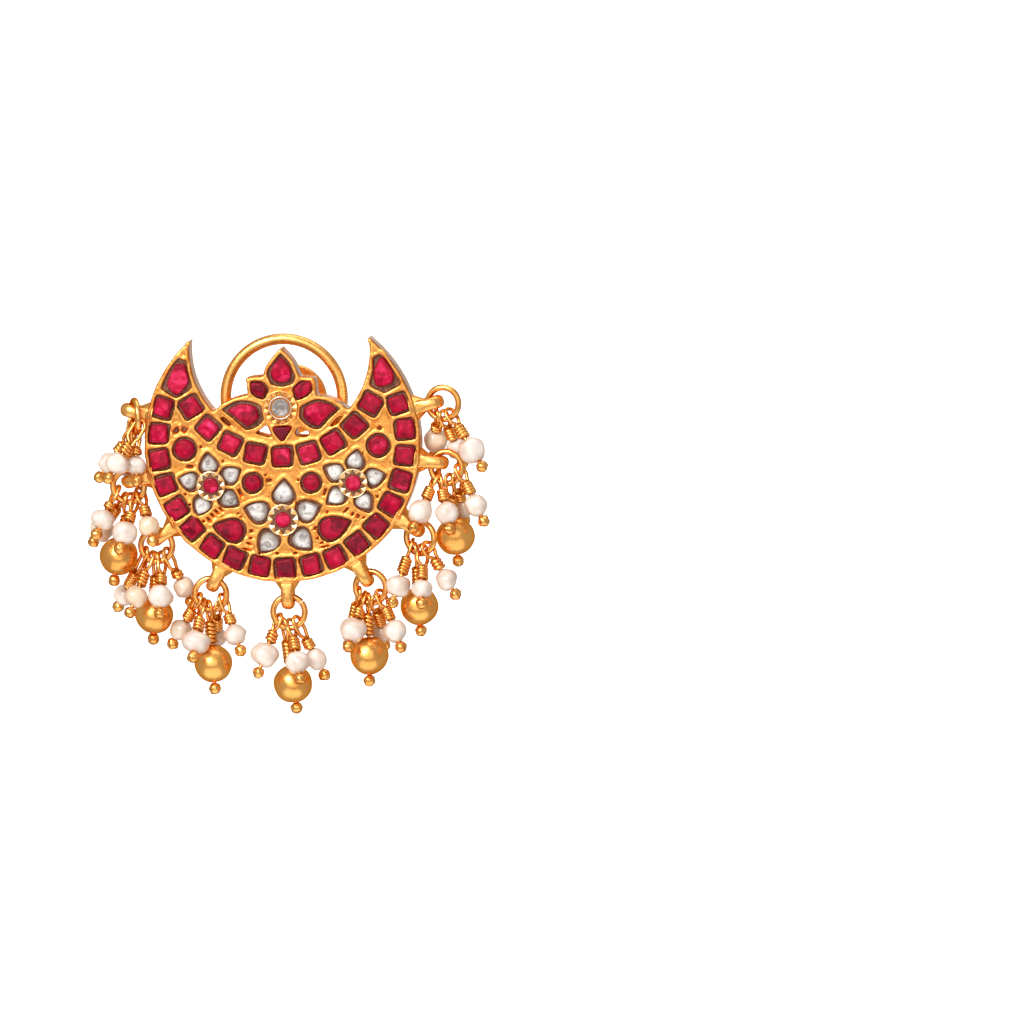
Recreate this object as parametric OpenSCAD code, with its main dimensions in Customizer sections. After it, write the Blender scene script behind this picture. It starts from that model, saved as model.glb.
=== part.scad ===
// Crescent ear drop of the chandbali kind: a gold plate with a lotus between its
// horns, set with red and colourless stones, and nine hooks that carry jump rings
// with bunches of pearls and gold beads on wrapped head pins.
// The ear post's axis is Y, its foot on the plate's back is the origin, the
// stones face -Y and +Z is up. Millimetres.

/* [Crescent plate] */
// Radius of the crescent's outer edge
crescent_r = 15.3; // [15.1:0.1:15.6]
// Drop of the outer edge's centre below the ear post
crescent_drop = 4.05; // [4:0.05:4.2]
// Radius of the edge between the horns
cutout_r = 10; // [9.9:0.05:10.1]
// Rise of that edge's centre above the ear post
cutout_rise = 6.3; // [6.2:0.05:6.4]
// Depth of the plate from its face to its back
plate_t = 3; // [2.8:0.1:3.4]

/* [Stones] */
// Side of a square ruby
square_w = 1.95; // [1.8:0.05:2.05]
// Depth of the stone pockets
pocket_d = 1.1; // [0.9:0.1:1.4]
// Clearance round a stone in its pocket
stone_gap = 0.12; // [0.1:0.01:0.14]
// Height of a stone's table above the plate's face
table_rise = 0.2; // [0.1:0.05:0.3]
// Height of the toothed collars above the plate's face
collar_rise = 0.3; // [0.2:0.05:0.4]

/* [Ear fastening] */
// Length of the ear post
post_len = 10.5; // [10.4:0.1:12]
// Radius of the ear post
post_r = 0.45; // [0.4:0.05:0.5]
// Radius of the nut's disc
nut_r = 3.9; // [3.5:0.1:4]
// Distance from the plate's back to the nut
nut_at = 6.7; // [6.6:0.1:6.8]
// Radius of the round ear wire, to the middle of the wire
loop_r = 6.4; // [6.2:0.1:6.6]
// Thickness of the ear wire
loop_wire = 1.15; // [1:0.05:1.2]

/* [Hooks and rings] */
// Distance from the outer edge to the end of a hook
hook_reach = 3.1; // [3:0.05:3.2]
// Width of the strap that a hook is bent from
strap_w = 1.2; // [1.1:0.05:1.25]
// Thickness of that strap
strap_t = 0.55; // [0.5:0.05:0.6]
// Radius of a jump ring, to the middle of its wire
ring_r = 1.75; // [1.7:0.05:1.8]
// Radius of a jump ring's wire
ring_wire_r = 0.33; // [0.3:0.01:0.34]

/* [Head pins] */
// Radius of the pin wire
wire_r = 0.13; // [0.12:0.01:0.15]
// Distance between two turns of the wrapped wire
wrap_pitch = 0.36; // [0.32:0.01:0.4]
// Radius of the ball at a pin's foot
ball_r = 0.55; // [0.45:0.05:0.6]

/* [Hidden] */
$fn = 48;
stone_bottom = 0.06;                // air under a stone
stone_crown = 0.5;                  // height of the sloping facets
table_scale = 0.62;                 // table's size in relation to the girdle
outer_row_r = 13.75;                // radius of the outer row of squares
outer_pitch = 12;                   // degrees from stone to stone
outer_last = 9;                     // stones on each side of the lowest one
inner_row_r = 11.7;                 // radius of the inner row of squares
inner_pitch = 14.7;
inner_last = 4;
corner = 0.14;                      // cut corner of a square, as a share of its side
ease = 0.2;                         // cut corner of a lotus stone, as a share of its sides
tooth_count = 10;                   // notches in a flower's collar
collar_r = 1.56;                    // outer radius of a side flower's collar
notch_out_r = 1.3;                  // outer points of the notches
notch_in_r = 0.95;                  // inner points, around the ruby
flower_ruby_r = 0.85;
crown_collar_r = 1.84;              // collar in the middle of the lotus
crown_stone_r = 1.2;
face_y = -plate_t;                  // the stones' side
mid_y = -plate_t / 2;               // where the hooks lie in the plate's depth
root_sink = 0.3;                    // depth of a soldered foot inside the plate's back
over = 1;                           // how far a cut runs past what it cuts
drop_bulge = 0.65;                  // widest place of a drop, as a share of its width

hook_end_r = crescent_r + hook_reach;
hole_r = 0.75;                      // half width of a hook's eye
lug_reach = 0.5;                    // flare of the rim under a hook
lug_w = 2.7;                        // its width at the rim
lug_t = 2.2;
lug_end_w = 1.5;                    // its width where the strap leaves it
lug_foot = 0.05;                    // height inside the rim at which the flare starts
lug_sink = 0.4;                     // depth of the lug's root inside the rim
strap_sink = 0.15;                  // depth of the strap's root inside the rim
strand_r = hook_end_r - strap_t / 2; // middle of a hook's outermost strand

eye_r = 0.64;                       // half width of a pin's eye, to the wire's middle
eye_rise = 0.38;                    // bow of the eye above the ring's wire
wrap_r = 0.39;                      // radius of the wrapped turns, to the wire's middle
turn_r = 0.15;                      // radius of one wrapped turn's section
eye_sink = 0.2;                     // run of the eye's wires inside the wrapped turns
wrap_inset = 0.05;                  // sleeve under the turns, inside their middle
bore_r = wire_r + 0.12;             // hole through a pearl or bead
bead_steps = 12;                    // straight pieces of a bead's outline
bead_gap = 0.06;                    // air between the wraps, the bead and the ball

hinge_z = -7;                       // axis of the ear wire's hinge
hinge_y = 1.15;
barrel_r = 0.95;                    // the hinge's soldered barrel
barrel_w = 2.6;
hinge_bore_r = 0.5;
hinge_pin_r = 0.42;
hinge_pin_end = 0.4;                // distance of the pins' ends from the middle
bend_swell = 0.01;                  // extra radius where the ear wire bends
loop_rise = 0.74;                   // the ear wire's centre above the post
loop_foot = 25;                     // degrees from the bottom to where the circle ends
leg_x = 2.1;                        // where the ear wire's legs turn into the barrel
nut_t = 0.8;
hub_r = 1.5;
hub_len = 1.8;
nut_bore_r = post_r + 0.08;         // free on the post

// Single stones: [x, z, width, length, turn], the turn counter-clockwise from
// a point that looks up
HORN_RUBIES = [[-11.3, 3.5, 2.3, 3.5, -10], [11.45, 3.6, 2.5, 3.2, 14]];
ROUND_RUBIES = [[-10.8, -4.4, 1.15], [-3.35, -8.3, 0.98], [3.15, -8.35, 0.98], [10.7, -4.35, 1.15]];
DROP_RUBIES = [[-6.15, -13.4, 2.2, 3, 75], [5.65, -13.3, 2.2, 3.2, -70]];
// Flowers: [x, z, distance of the petals, petal width, petal length]
FLOWERS = [[-8, -8.5, 2.55, 1.9, 2.1], [-0.1, -12.4, 3.1, 2.3, 2.6], [7.8, -8.45, 2.55, 1.9, 2.1]];
// Direction of each flower's petals, clockwise from the top
PETAL_ANGLES = [[-5, 62, 128, 208, 282], [3, 70, 139, 217, 288], [8, 77, 151, 232, 300]];
// Lotus outline, clockwise from the left end of the lower leaf, closed inside the crescent
LOTUS_EDGE = [[-7.7, -0.4], [-6.6, 0.45], [-5.65, 1], [-4.6, 1.3], [-3.65, 1.45], [-3.7, 2.4], [-3.85, 3.3],
    [-2.95, 3.45], [-1.9, 3.5], [-1.75, 4.1], [-1.4, 4.8], [-0.85, 5.55], [0.15, 6.6], [1.2, 5.45],
    [1.65, 4.7], [1.9, 4.05], [2.2, 3.35], [3, 3.3], [3.85, 3.15], [3.9, 2.3], [4, 1.25], [4.95, 1.15],
    [6, 0.75], [7, 0.05], [7.8, -0.6], [5.2, -3.2], [2.5, -4.2], [0, -4.5], [-2.5, -4.2], [-5.2, -3.2]];
// Stones of the lotus, each in a pocket of the same form:
// [x, z, stone's share of the pocket, pocket's outline counter-clockwise]
LOTUS_STONES = [
    [0.2, 4.05, 0.76, [[0.15, 6.1], [-1.1, 4.65], [-1.45, 3.7], [-0.95, 2.6], [0.3, 2.3], [1.35, 2.6], [1.7, 3.65],
        [1.35, 4.9]]],
    [-2.45, 2.05, 0.84, [[-3.45, 2.25], [-3, 1.35], [-1.8, 0.95], [-1.3, 2.1], [-2, 2.95], [-3.4, 2.95]]],
    [2.55, 2.05, 0.88, [[3.65, 2.95], [2.35, 3], [1.35, 2.05], [1.8, 0.75], [3.15, 1.3], [3.7, 2.3]]],
    [-3.95, -0.6, 0.76, [[-5.2, -1.15], [-3.85, -2.4], [-2.8, -2.15], [-1.95, -1.2], [-2.2, 0.2],
        [-3.35, 0.8], [-5, 0.85], [-6.6, -0.05]]],
    [4, -0.65, 0.8, [[6.8, -0.1], [5.35, 0.8], [3.85, 0.85], [2.25, 0.15], [2.05, -1.1], [3.15, -2.25], [4.3, -2.4],
        [5.5, -1.1]]],
    [0.05, -2.75, 0.85, [[-0.65, -2.95], [0.05, -3.75], [0.7, -2.95], [1.2, -2.1], [0, -2.05], [-1, -2.2]]]];
// Pierced gaps between the lotus and the crescent
LOTUS_GAPS = [
    [[-2.9, -2.8], [-1.6, -1.85], [-1.1, -3.3]],
    [[1.5, -2.8], [2, -2.15], [3.15, -2.85], [2.8, -3.25], [1.7, -3.2]],
    [[-7, -0.75], [-6.1, -1.1], [-5.2, -2.2], [-6.2, -1.7]],
    [[7.2, -0.8], [6.2, -1.2], [5.15, -2.45], [6.3, -1.8]]];

// Hooks from the left horn round to the right one:
// [angle from the bottom, ring's x, y and z from the hook's end, ring's turn]
HOOKS = [
    [-103, 1.45, -1.4, -0.7, -70],
    [-77, 0.25, 0.1, -0.45, -3],
    [-54, 0.2, 0, -0.5, 0],
    [-28, -0.1, 0, -0.65, 0],
    [0, 0.05, 0, -0.65, 0],
    [30, 0.15, 0, -0.45, -12],
    [56, -0.1, -0.4, -0.55, -24],
    [82, 0.05, 0, -0.5, -8],
    [104, 0.25, 0, -0.3, -10]];

// Head pins of each ring, from left to right: [place round the ring from its
// bottom, lean to the right, lean to the back, eye, wrapped length, bead's width,
// bead's height], in degrees and millimetres
PINS = [
    [[-54, -11, 24, 2.1, 2.2, 2.3, 2.3], [-30, -37, -4, 1.8, 1.6, 2.4, 2.4],
        [-3, 2, -14, 1.6, 1, 2.15, 2.1], [41, -31, -19, 1.6, 1.6, 2.6, 2.4]],
    [[-62, -24, -26, 1.1, 1, 2.65, 2.3], [-26, -38, 24, 0.9, 2.5, 2.7, 2.55],
        [0, -13, 3, 1.4, 2.6, 4.25, 4.25], [24, -16, -34, 1.4, 1.4, 2.9, 2.65],
        [53, 18, -31, 1.2, 1.5, 2.4, 2.35]],
    [[-54, -31, 30, 2.6, 2.7, 2.3, 2.3], [-28, -20, -24, 1.3, 2, 2.6, 2.4],
        [-5, -5, 10, 1.6, 2.4, 4.25, 4.25], [18, 0, -28, 1.5, 1.4, 2.8, 2.65],
        [46, 21, 20, 1.7, 1.2, 2.35, 2.35]],
    [[-63, -32, 10, 0.9, 1.7, 2.4, 2.4], [-36, -7, -36, 1.2, 2, 3.25, 2.4],
        [-8, 3, -3, 1.2, 2.6, 4.2, 4.2], [25, -11, 38, 1.3, 2, 2.3, 2.3],
        [57, 19, -12, 1.2, 1.4, 2.5, 2.3]],
    [[-50, -21, -14, 0.9, 1.6, 3.1, 2.7], [-18, 5, 12, 1.5, 3, 4.25, 4.25],
        [8, 12, -26, 1, 1.8, 2.7, 2.55], [36, 24, 10, 1.6, 1.5, 2.2, 2.55]],
    [[-56, -16, 26, 1, 2.6, 2.4, 2.4], [-34, -16, -28, 0.9, 1.4, 3.05, 2.65],
        [-10, -1, 0, 1.1, 2.6, 4.25, 4.25], [18, 4, 37, 1.2, 2.3, 2.3, 2.3],
        [46, 22, -14, 1, 1.7, 2.55, 2.45]],
    [[-48, -18, -20, 1, 2.2, 2.75, 2.5], [-20, 1, 8, 1.6, 2.4, 4.2, 4.2],
        [8, 1, -30, 1.4, 1.8, 2.3, 2.05], [38, 30, -2, 0.9, 1.6, 2.4, 2.4]],
    [[-49, -23, -30, 1.2, 1.7, 2.7, 2.75], [-24, 14, -30, 0.9, 1.7, 2.5, 2.5],
        [11, 4, 4, 1.4, 2.4, 4.3, 4.2], [39, 4, 36, 1.6, 1.4, 2.3, 2.3],
        [71, 25, -11, 1, 1.7, 2.5, 2.5]],
    [[-26, -9, 36, 0.9, 1.1, 2.7, 2.65], [4, 18, 22, 0.9, 1.8, 2.3, 2.3],
        [34, 32, -16, 1, 1.9, 2.95, 2.95]]];
gold_from_w = 4;                    // a bead this wide or more is gold, not pearl

hook_count = len(HOOKS);
GOLD_HOOKS = [for (i = [0 : hook_count - 1]) if (len([for (p = PINS[i]) if (is_gold(p)) p]) > 0) i];

function is_gold(pin) = pin[5] >= gold_from_w;

// Outline of a square with cut corners, counter-clockwise
function square_outline(w) =
    let (h = w / 2, c = w * corner)
    [[h, -h + c], [h, h - c], [h - c, h], [-h + c, h], [-h, h - c], [-h, -h + c], [-h + c, -h], [h - c, -h]];

// Outline of a drop whose point looks up
function drop_outline(w, l, n = 12) =
    [for (i = [0 : n - 1]) let (t = 360 * i / n)
        [-w * drop_bulge * sin(t) * sin(t / 2), l / 2 * cos(t)]];

// Outline with each corner cut off
function eased(points) = let (n = len(points)) [for (i = [0 : n - 1], t = [ease, 1 - ease])
    points[i] * (1 - t) + points[(i + 1) % n] * t];

// A lotus stone's outline round its own centre
function lotus_stone_outline(s) = eased([for (p = s[3]) (p - [s[0], s[1]]) * s[2]]);

// Outline of a round stone
function round_outline(r, n = 10) = [for (i = [0 : n - 1]) r * [cos(360 * i / n), sin(360 * i / n)]];

// Star between the teeth of a collar
function star_outline(r_out, r_in, n) =
    [for (i = [0 : 2 * n - 1]) (i % 2 == 0 ? r_out : r_in) * [cos(180 * i / n), sin(180 * i / n)]];

// Where a ring's wire is gripped, seen from the ring's centre
function hook_end(i) = let (a = HOOKS[i][0])
    [strand_r * sin(a), mid_y, -crescent_drop - strand_r * cos(a)];
function ring_centre(i) = hook_end(i) + [HOOKS[i][1], HOOKS[i][2], HOOKS[i][3]];
function petal_place(f, k) = let (a = PETAL_ANGLES[f][k])
    [FLOWERS[f][0] + FLOWERS[f][2] * sin(a), FLOWERS[f][1] + FLOWERS[f][2] * cos(a)];

// Children drawn flat, with their Z pointing out of the plate's face
module on_face(x, z, turn = 0, sink = 0) {
    translate([x, face_y + sink, z]) rotate([90, 0, 0]) rotate([0, 0, turn]) children();
}

// Children in XZ, raised from y = 0 towards the face
module from_back(h) {
    rotate([90, 0, 0]) linear_extrude(h) children();
}

// Children with -Z pointing out of the rim at an angle from its lowest point
module at_rim(angle) {
    translate([0, mid_y, -crescent_drop]) rotate([0, -angle, 0]) children();
}

// A stone with straight walls, a sloping crown and a flat table
module cut_stone(outline) {
    n = len(outline);
    girdle_z = pocket_d - stone_bottom + table_rise - stone_crown;
    levels = [[0, 1], [girdle_z, 1], [girdle_z + stone_crown, table_scale]];
    points = [for (level = levels, p = outline) [p.x * level[1], p.y * level[1], level[0]]];
    walls = [for (k = [0, 1], i = [0 : n - 1])
        [k * n + i, (k + 1) * n + i, (k + 1) * n + (i + 1) % n, k * n + (i + 1) % n]];
    base = [[for (i = [0 : n - 1]) i]];
    table = [[for (i = [n - 1 : -1 : 0]) 2 * n + i]];
    polyhedron(points, concat(base, walls, table));
}

module seat(x, z, turn = 0) {
    on_face(x, z, turn, pocket_d - stone_bottom) children();
}

module outer_row_places() {
    for (k = [-outer_last : outer_last]) let (a = k * outer_pitch)
        translate([outer_row_r * sin(a), -crescent_drop - outer_row_r * cos(a)]) rotate(a) children();
}

module inner_row_places() {
    for (k = [-inner_last : inner_last]) let (a = k * inner_pitch)
        translate([inner_row_r * sin(a), cutout_rise - inner_row_r * cos(a)]) rotate(a) children();
}

module crescent_2d() {
    difference() {
        translate([0, -crescent_drop]) circle(crescent_r, $fn = 120);
        translate([0, cutout_rise]) circle(cutout_r, $fn = 120);
        for (gap = LOTUS_GAPS) polygon(gap);
    }
}

module lotus_2d() {
    difference() {
        polygon(LOTUS_EDGE);
        for (gap = LOTUS_GAPS) polygon(gap);
    }
}

module pockets_2d() {
    grow = 2 * stone_gap;
    outer_row_places() polygon(square_outline(square_w + grow));
    inner_row_places() polygon(square_outline(square_w + grow));
    for (p = HORN_RUBIES) translate([p[0], p[1]]) rotate(p[4]) polygon(drop_outline(p[2] + grow, p[3] + 2 * grow));
    for (p = DROP_RUBIES) translate([p[0], p[1]]) rotate(p[4]) polygon(drop_outline(p[2] + grow, p[3] + 2 * grow));
    for (p = ROUND_RUBIES) translate([p[0], p[1]]) circle(p[2] + stone_gap);
    for (f = [0 : len(FLOWERS) - 1], k = [0 : 4])
        translate(petal_place(f, k)) rotate(-PETAL_ANGLES[f][k])
            polygon(drop_outline(FLOWERS[f][3] + grow, FLOWERS[f][4] + 2 * grow));
    for (s = LOTUS_STONES) polygon(eased(s[3]));
}

module collars_2d() {
    for (f = FLOWERS) translate([f[0], f[1]]) circle(collar_r);
    circle(crown_collar_r);
}

module collar_holes_2d() {
    for (f = FLOWERS) translate([f[0], f[1]]) polygon(star_outline(notch_out_r, notch_in_r, tooth_count));
    circle(crown_stone_r + stone_gap);
}

// Flat strap bent to a closed eye, standing in the plate's depth
module hook() {
    outer = hole_r + strap_t;
    near = -crescent_r - lug_reach - hole_r;
    far = -hook_end_r + outer;
    root = -crescent_r + strap_sink;
    translate([-strap_w / 2, 0, 0]) rotate([90, 0, 90]) linear_extrude(strap_w)
        difference() {
            union() {
                translate([0, far]) circle(outer);
                translate([-outer, far]) square([2 * outer, root - far]);
            }
            translate([0, far]) circle(hole_r);
            translate([-hole_r, far]) square([2 * hole_r, near - far]);
            translate([0, near]) circle(hole_r);
        }
}

// Flare that carries a hook on the rim
module lug() {
    root = crescent_r - lug_sink;
    foot = crescent_r - lug_foot;
    end = crescent_r + lug_reach;
    rotate([90, 0, 0]) translate([0, 0, -lug_t / 2]) linear_extrude(lug_t)
        polygon([[-lug_w / 2, -root], [-lug_w / 2, -foot], [-lug_end_w / 2, -end],
            [lug_end_w / 2, -end], [lug_w / 2, -foot], [lug_w / 2, -root]]);
}

module hinge_barrel() {
    difference() {
        union() {
            translate([-barrel_w / 2, hinge_y, hinge_z]) rotate([0, 90, 0]) cylinder(h = barrel_w, r = barrel_r);
            translate([-barrel_w / 2, -root_sink, hinge_z - barrel_r])
                cube([barrel_w, hinge_y + root_sink, 2 * barrel_r]);
        }
        translate([-barrel_w, hinge_y, hinge_z]) rotate([0, 90, 0]) cylinder(h = 2 * barrel_w, r = hinge_bore_r);
    }
}

module setting_plate() {
    color("goldenrod") {
        difference() {
            union() {
                from_back(plate_t) union() {
                    crescent_2d();
                    lotus_2d();
                }
                from_back(plate_t + collar_rise) collars_2d();
                for (h = HOOKS) at_rim(h[0]) {
                    hook();
                    lug();
                }
            }
            translate([0, face_y + pocket_d, 0]) from_back(pocket_d + over) {
                pockets_2d();
                collar_holes_2d();
            }
        }
        hinge_barrel();
        translate([0, -root_sink, 0]) rotate([-90, 0, 0]) cylinder(h = post_len + root_sink - post_r, r = post_r);
        translate([0, post_len - post_r, 0]) rotate([-90, 0, 0]) cylinder(h = post_r, r1 = post_r, r2 = post_r / 2);
    }
}

// Round wire behind the plate, hinged below, that steadies the drop on the ear
module ear_loop() {
    r = loop_wire / 2;
    foot_x = loop_r * sin(loop_foot);
    foot_z = loop_rise - loop_r * cos(loop_foot);
    leg = [leg_x - foot_x, 0, hinge_z - foot_z];
    leg_len = norm(leg);
    leg_turn = atan2(leg.x, leg.z);
    color("gold") {
        translate([0, hinge_y, loop_rise]) rotate([90, 0, 0]) rotate([0, 0, loop_foot - 90])
            rotate_extrude(angle = 360 - 2 * loop_foot) translate([loop_r, 0]) circle(r);
        for (side = [-1, 1]) {
            translate([side * foot_x, hinge_y, foot_z]) {
                sphere(r + bend_swell);
                rotate([0, side * leg_turn, 0]) cylinder(h = leg_len, r = r);
            }
            translate([side * leg_x, hinge_y, hinge_z]) sphere(r + 2 * bend_swell);
            translate([side * leg_x, hinge_y, hinge_z]) rotate([0, -side * 90, 0])
                cylinder(h = leg_x - hinge_pin_end, r = hinge_pin_r);
        }
    }
}

module ear_nut() {
    color("gold") translate([0, nut_at, 0]) rotate([-90, 0, 0]) difference() {
        union() {
            cylinder(h = nut_t, r = nut_r);
            cylinder(h = nut_t + hub_len, r = hub_r);
        }
        translate([0, 0, -over]) cylinder(h = nut_t + hub_len + 2 * over, r = nut_bore_r);
    }
}

module outer_row_rubies() {
    color("crimson") for (k = [-outer_last : outer_last]) let (a = k * outer_pitch)
        seat(outer_row_r * sin(a), -crescent_drop - outer_row_r * cos(a), a) cut_stone(square_outline(square_w));
}

module inner_row_rubies() {
    color("crimson") for (k = [-inner_last : inner_last]) let (a = k * inner_pitch)
        seat(inner_row_r * sin(a), cutout_rise - inner_row_r * cos(a), a) cut_stone(square_outline(square_w));
}

module lotus_rubies() {
    color("crimson") for (s = LOTUS_STONES) seat(s[0], s[1]) cut_stone(lotus_stone_outline(s));
}

module lotus_centre_polki() {
    color("gainsboro") seat(0, 0) cut_stone(round_outline(crown_stone_r));
}

module drop_ruby(p) {
    color("crimson") seat(p[0], p[1], p[4]) cut_stone(drop_outline(p[2], p[3]));
}

module round_ruby(p) {
    color("crimson") seat(p[0], p[1]) cut_stone(round_outline(p[2]));
}

module flower_polki(f) {
    color("gainsboro") for (k = [0 : 4]) let (at = petal_place(f, k))
        seat(at.x, at.y, -PETAL_ANGLES[f][k]) cut_stone(drop_outline(FLOWERS[f][3], FLOWERS[f][4]));
}

module jump_ring(i) {
    color("gold") translate(ring_centre(i)) rotate([0, 0, HOOKS[i][4]]) rotate([90, 0, 0])
        rotate_extrude() translate([ring_r, 0]) circle(ring_wire_r);
}

// Children hung from ring i, -Z along the pin and the eye's plane across the ring
module on_pin(i, pin) {
    ring_turn = HOOKS[i][4];
    place = ring_r * sin(pin[0]);
    translate(ring_centre(i) + [place * cos(ring_turn), place * sin(ring_turn), -ring_r * cos(pin[0])])
        rotate([pin[2], -pin[1], 0]) rotate([0, 0, ring_turn]) children();
}

function bead_top(pin) = -pin[3] - pin[4] - bead_gap;
function ball_z(pin) = bead_top(pin) - pin[6] - bead_gap - ball_r;

// Eye, wrapped turns, stem and ball of one pin
module head_pin(pin) {
    turns = max(2, round(pin[4] / wrap_pitch));
    pitch = pin[4] / turns;
    for (side = [-1, 1]) translate([0, side * eye_r, -pin[3] - eye_sink])
        cylinder(h = pin[3] + eye_sink + eye_rise, r = wire_r);
    translate([0, 0, eye_rise]) rotate([90, 0, 90]) rotate_extrude(angle = 180) translate([eye_r, 0]) circle(wire_r);
    rotate_extrude() {
        translate([0, -pin[3] - pin[4]]) square([wrap_r - wrap_inset, pin[4] - wrap_inset]);
        for (k = [0 : turns - 1]) translate([wrap_r, -pin[3] - (k + 0.5) * pitch]) circle(turn_r, $fn = 24);
        translate([0, ball_z(pin)]) square([wire_r, -pin[3] - eye_sink / 2 - ball_z(pin)]);
        intersection() {
            translate([0, ball_z(pin)]) circle(ball_r);
            translate([0, ball_z(pin) - 2 * ball_r]) square(4 * ball_r);
        }
    }
}

// Drilled bead with its ends rounded off, hung on a pin
module drilled_bead(pin) {
    first = acos(bore_r / (pin[5] / 2));
    translate([0, 0, bead_top(pin) - pin[6] / 2]) rotate_extrude()
        polygon([for (k = [0 : bead_steps]) let (t = first * (2 * k / bead_steps - 1))
            [pin[5] / 2 * cos(t), pin[6] / 2 * sin(t)]]);
}

module head_pins(i) {
    color("gold") for (pin = PINS[i]) on_pin(i, pin) head_pin(pin);
}

module pearls(i) {
    color("ivory") for (pin = PINS[i]) if (!is_gold(pin)) on_pin(i, pin) drilled_bead(pin);
}

module gold_bead(i) {
    color("goldenrod") for (pin = PINS[i]) if (is_gold(pin)) on_pin(i, pin) drilled_bead(pin);
}

setting_plate();
ear_loop();
ear_nut();
outer_row_rubies();
inner_row_rubies();
lotus_rubies();
lotus_centre_polki();
for (i = [1 : len(HORN_RUBIES)])
    drop_ruby(HORN_RUBIES[i - 1]);
for (i = [1 : len(ROUND_RUBIES)])
    round_ruby(ROUND_RUBIES[i - 1]);
for (i = [1 : len(DROP_RUBIES)])
    drop_ruby(DROP_RUBIES[i - 1]);
for (i = [1 : len(FLOWERS)])
    round_ruby([FLOWERS[i - 1][0], FLOWERS[i - 1][1], flower_ruby_r]);
for (i = [1 : len(FLOWERS)])
    flower_polki(i - 1);
for (i = [1 : hook_count])
    jump_ring(i - 1);
for (i = [1 : hook_count])
    head_pins(i - 1);
for (i = [1 : hook_count])
    pearls(i - 1);
for (i = GOLD_HOOKS)
    gold_bead(i);
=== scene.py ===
# %% [markdown]
# # A crescent ear drop with rubies, polki stones and pearls
# This lesson dresses a finished CAD model of an ear drop of the chandbali kind.
# The CAD parts give the sizes and say what moves. Here each of them gets the
# shapes that only a close look shows, and a finish of its own.
# The first cell loads the CAD model and keeps its box, so that the last cell
# can print it next to the box of the finished model.

import math
import random

import bmesh
import bpy
from mathutils import Matrix, Vector, kdtree, noise


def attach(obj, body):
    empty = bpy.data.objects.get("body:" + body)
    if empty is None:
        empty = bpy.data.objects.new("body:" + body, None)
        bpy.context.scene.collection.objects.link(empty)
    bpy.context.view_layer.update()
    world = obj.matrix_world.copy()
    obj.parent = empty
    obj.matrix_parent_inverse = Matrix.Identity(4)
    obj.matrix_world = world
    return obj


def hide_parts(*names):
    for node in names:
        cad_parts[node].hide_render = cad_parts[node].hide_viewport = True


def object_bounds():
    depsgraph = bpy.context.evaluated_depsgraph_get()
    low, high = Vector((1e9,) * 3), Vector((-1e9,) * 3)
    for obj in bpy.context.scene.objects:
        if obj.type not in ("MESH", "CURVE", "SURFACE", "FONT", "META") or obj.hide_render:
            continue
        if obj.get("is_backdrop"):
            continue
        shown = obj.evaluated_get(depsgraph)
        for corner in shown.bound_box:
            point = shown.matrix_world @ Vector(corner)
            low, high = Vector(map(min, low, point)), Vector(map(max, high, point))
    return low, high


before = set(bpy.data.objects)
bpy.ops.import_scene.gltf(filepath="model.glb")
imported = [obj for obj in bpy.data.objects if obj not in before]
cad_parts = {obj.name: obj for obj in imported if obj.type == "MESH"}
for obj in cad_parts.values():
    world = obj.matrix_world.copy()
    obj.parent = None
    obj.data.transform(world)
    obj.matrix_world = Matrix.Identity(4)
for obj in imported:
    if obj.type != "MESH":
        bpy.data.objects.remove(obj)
cad_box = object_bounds()

# %% [markdown]
# ## Camera
# The drop is small and is seen from straight ahead, a little from the right
# and from above, through a long lens. Such a lens hardly shows perspective, so
# one number says how many millimetres one pixel covers. The camera looks at
# the middle of the picture, and the drop hangs in the picture's left half.

# %% Camera
MM = 0.001
CAMERA_AZIMUTH = math.radians(6.2)
CAMERA_ELEVATION = math.radians(6.2)
CAMERA_ROLL = math.radians(1.6)
CAMERA_DISTANCE = 1.0
PICTURE_SIDE = 1024
MM_PER_PIXEL = 0.11
POST_PIXEL = (280.5, 407.8)     # where the post's axis meets the stones' side
FACE_Y = -3.0                   # the stones' side, in millimetres


def camera_axes():
    """Right, up and back of the camera, with the roll in them."""
    a, e, roll = CAMERA_AZIMUTH, CAMERA_ELEVATION, CAMERA_ROLL
    level = Vector((math.cos(a), math.sin(a), 0))
    upright = Vector((-math.sin(a) * math.sin(e), math.cos(a) * math.sin(e), math.cos(e)))
    right = level * math.cos(roll) - upright * math.sin(roll)
    up = level * math.sin(roll) + upright * math.cos(roll)
    return right, up, right.cross(up)


def make_camera():
    right, up, back = camera_axes()
    across = (PICTURE_SIDE / 2 - POST_PIXEL[0]) * MM_PER_PIXEL
    along = (POST_PIXEL[1] - PICTURE_SIDE / 2) * MM_PER_PIXEL
    target = (Vector((0, FACE_Y, 0)) + right * across + up * along) * MM
    data = bpy.data.cameras.new("camera")
    data.lens = data.sensor_width * CAMERA_DISTANCE / (PICTURE_SIDE * MM_PER_PIXEL * MM)
    data.clip_start = 0.05
    camera = bpy.data.objects.new("camera", data)
    bpy.context.scene.collection.objects.link(camera)
    turn = Matrix((right, up, back)).transposed().to_4x4()
    camera.matrix_world = Matrix.Translation(target + back * CAMERA_DISTANCE) @ turn
    bpy.context.scene.camera = camera
    print("lens", round(data.lens, 1), "mm at", CAMERA_DISTANCE, "m")


make_camera()

# %% [markdown]
# ## Small helpers for making pieces
# Everything is drawn in millimetres, which are easy to read, and shrunk to
# metres at the end. A new piece needs a mesh, its materials, the CAD body that
# it moves with and the CAD nodes that it stands for. One helper does all that,
# so that no step is forgotten.

# %% Helpers for pieces
SEAM = 0.0005       # points nearer to each other than this are one point


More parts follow.
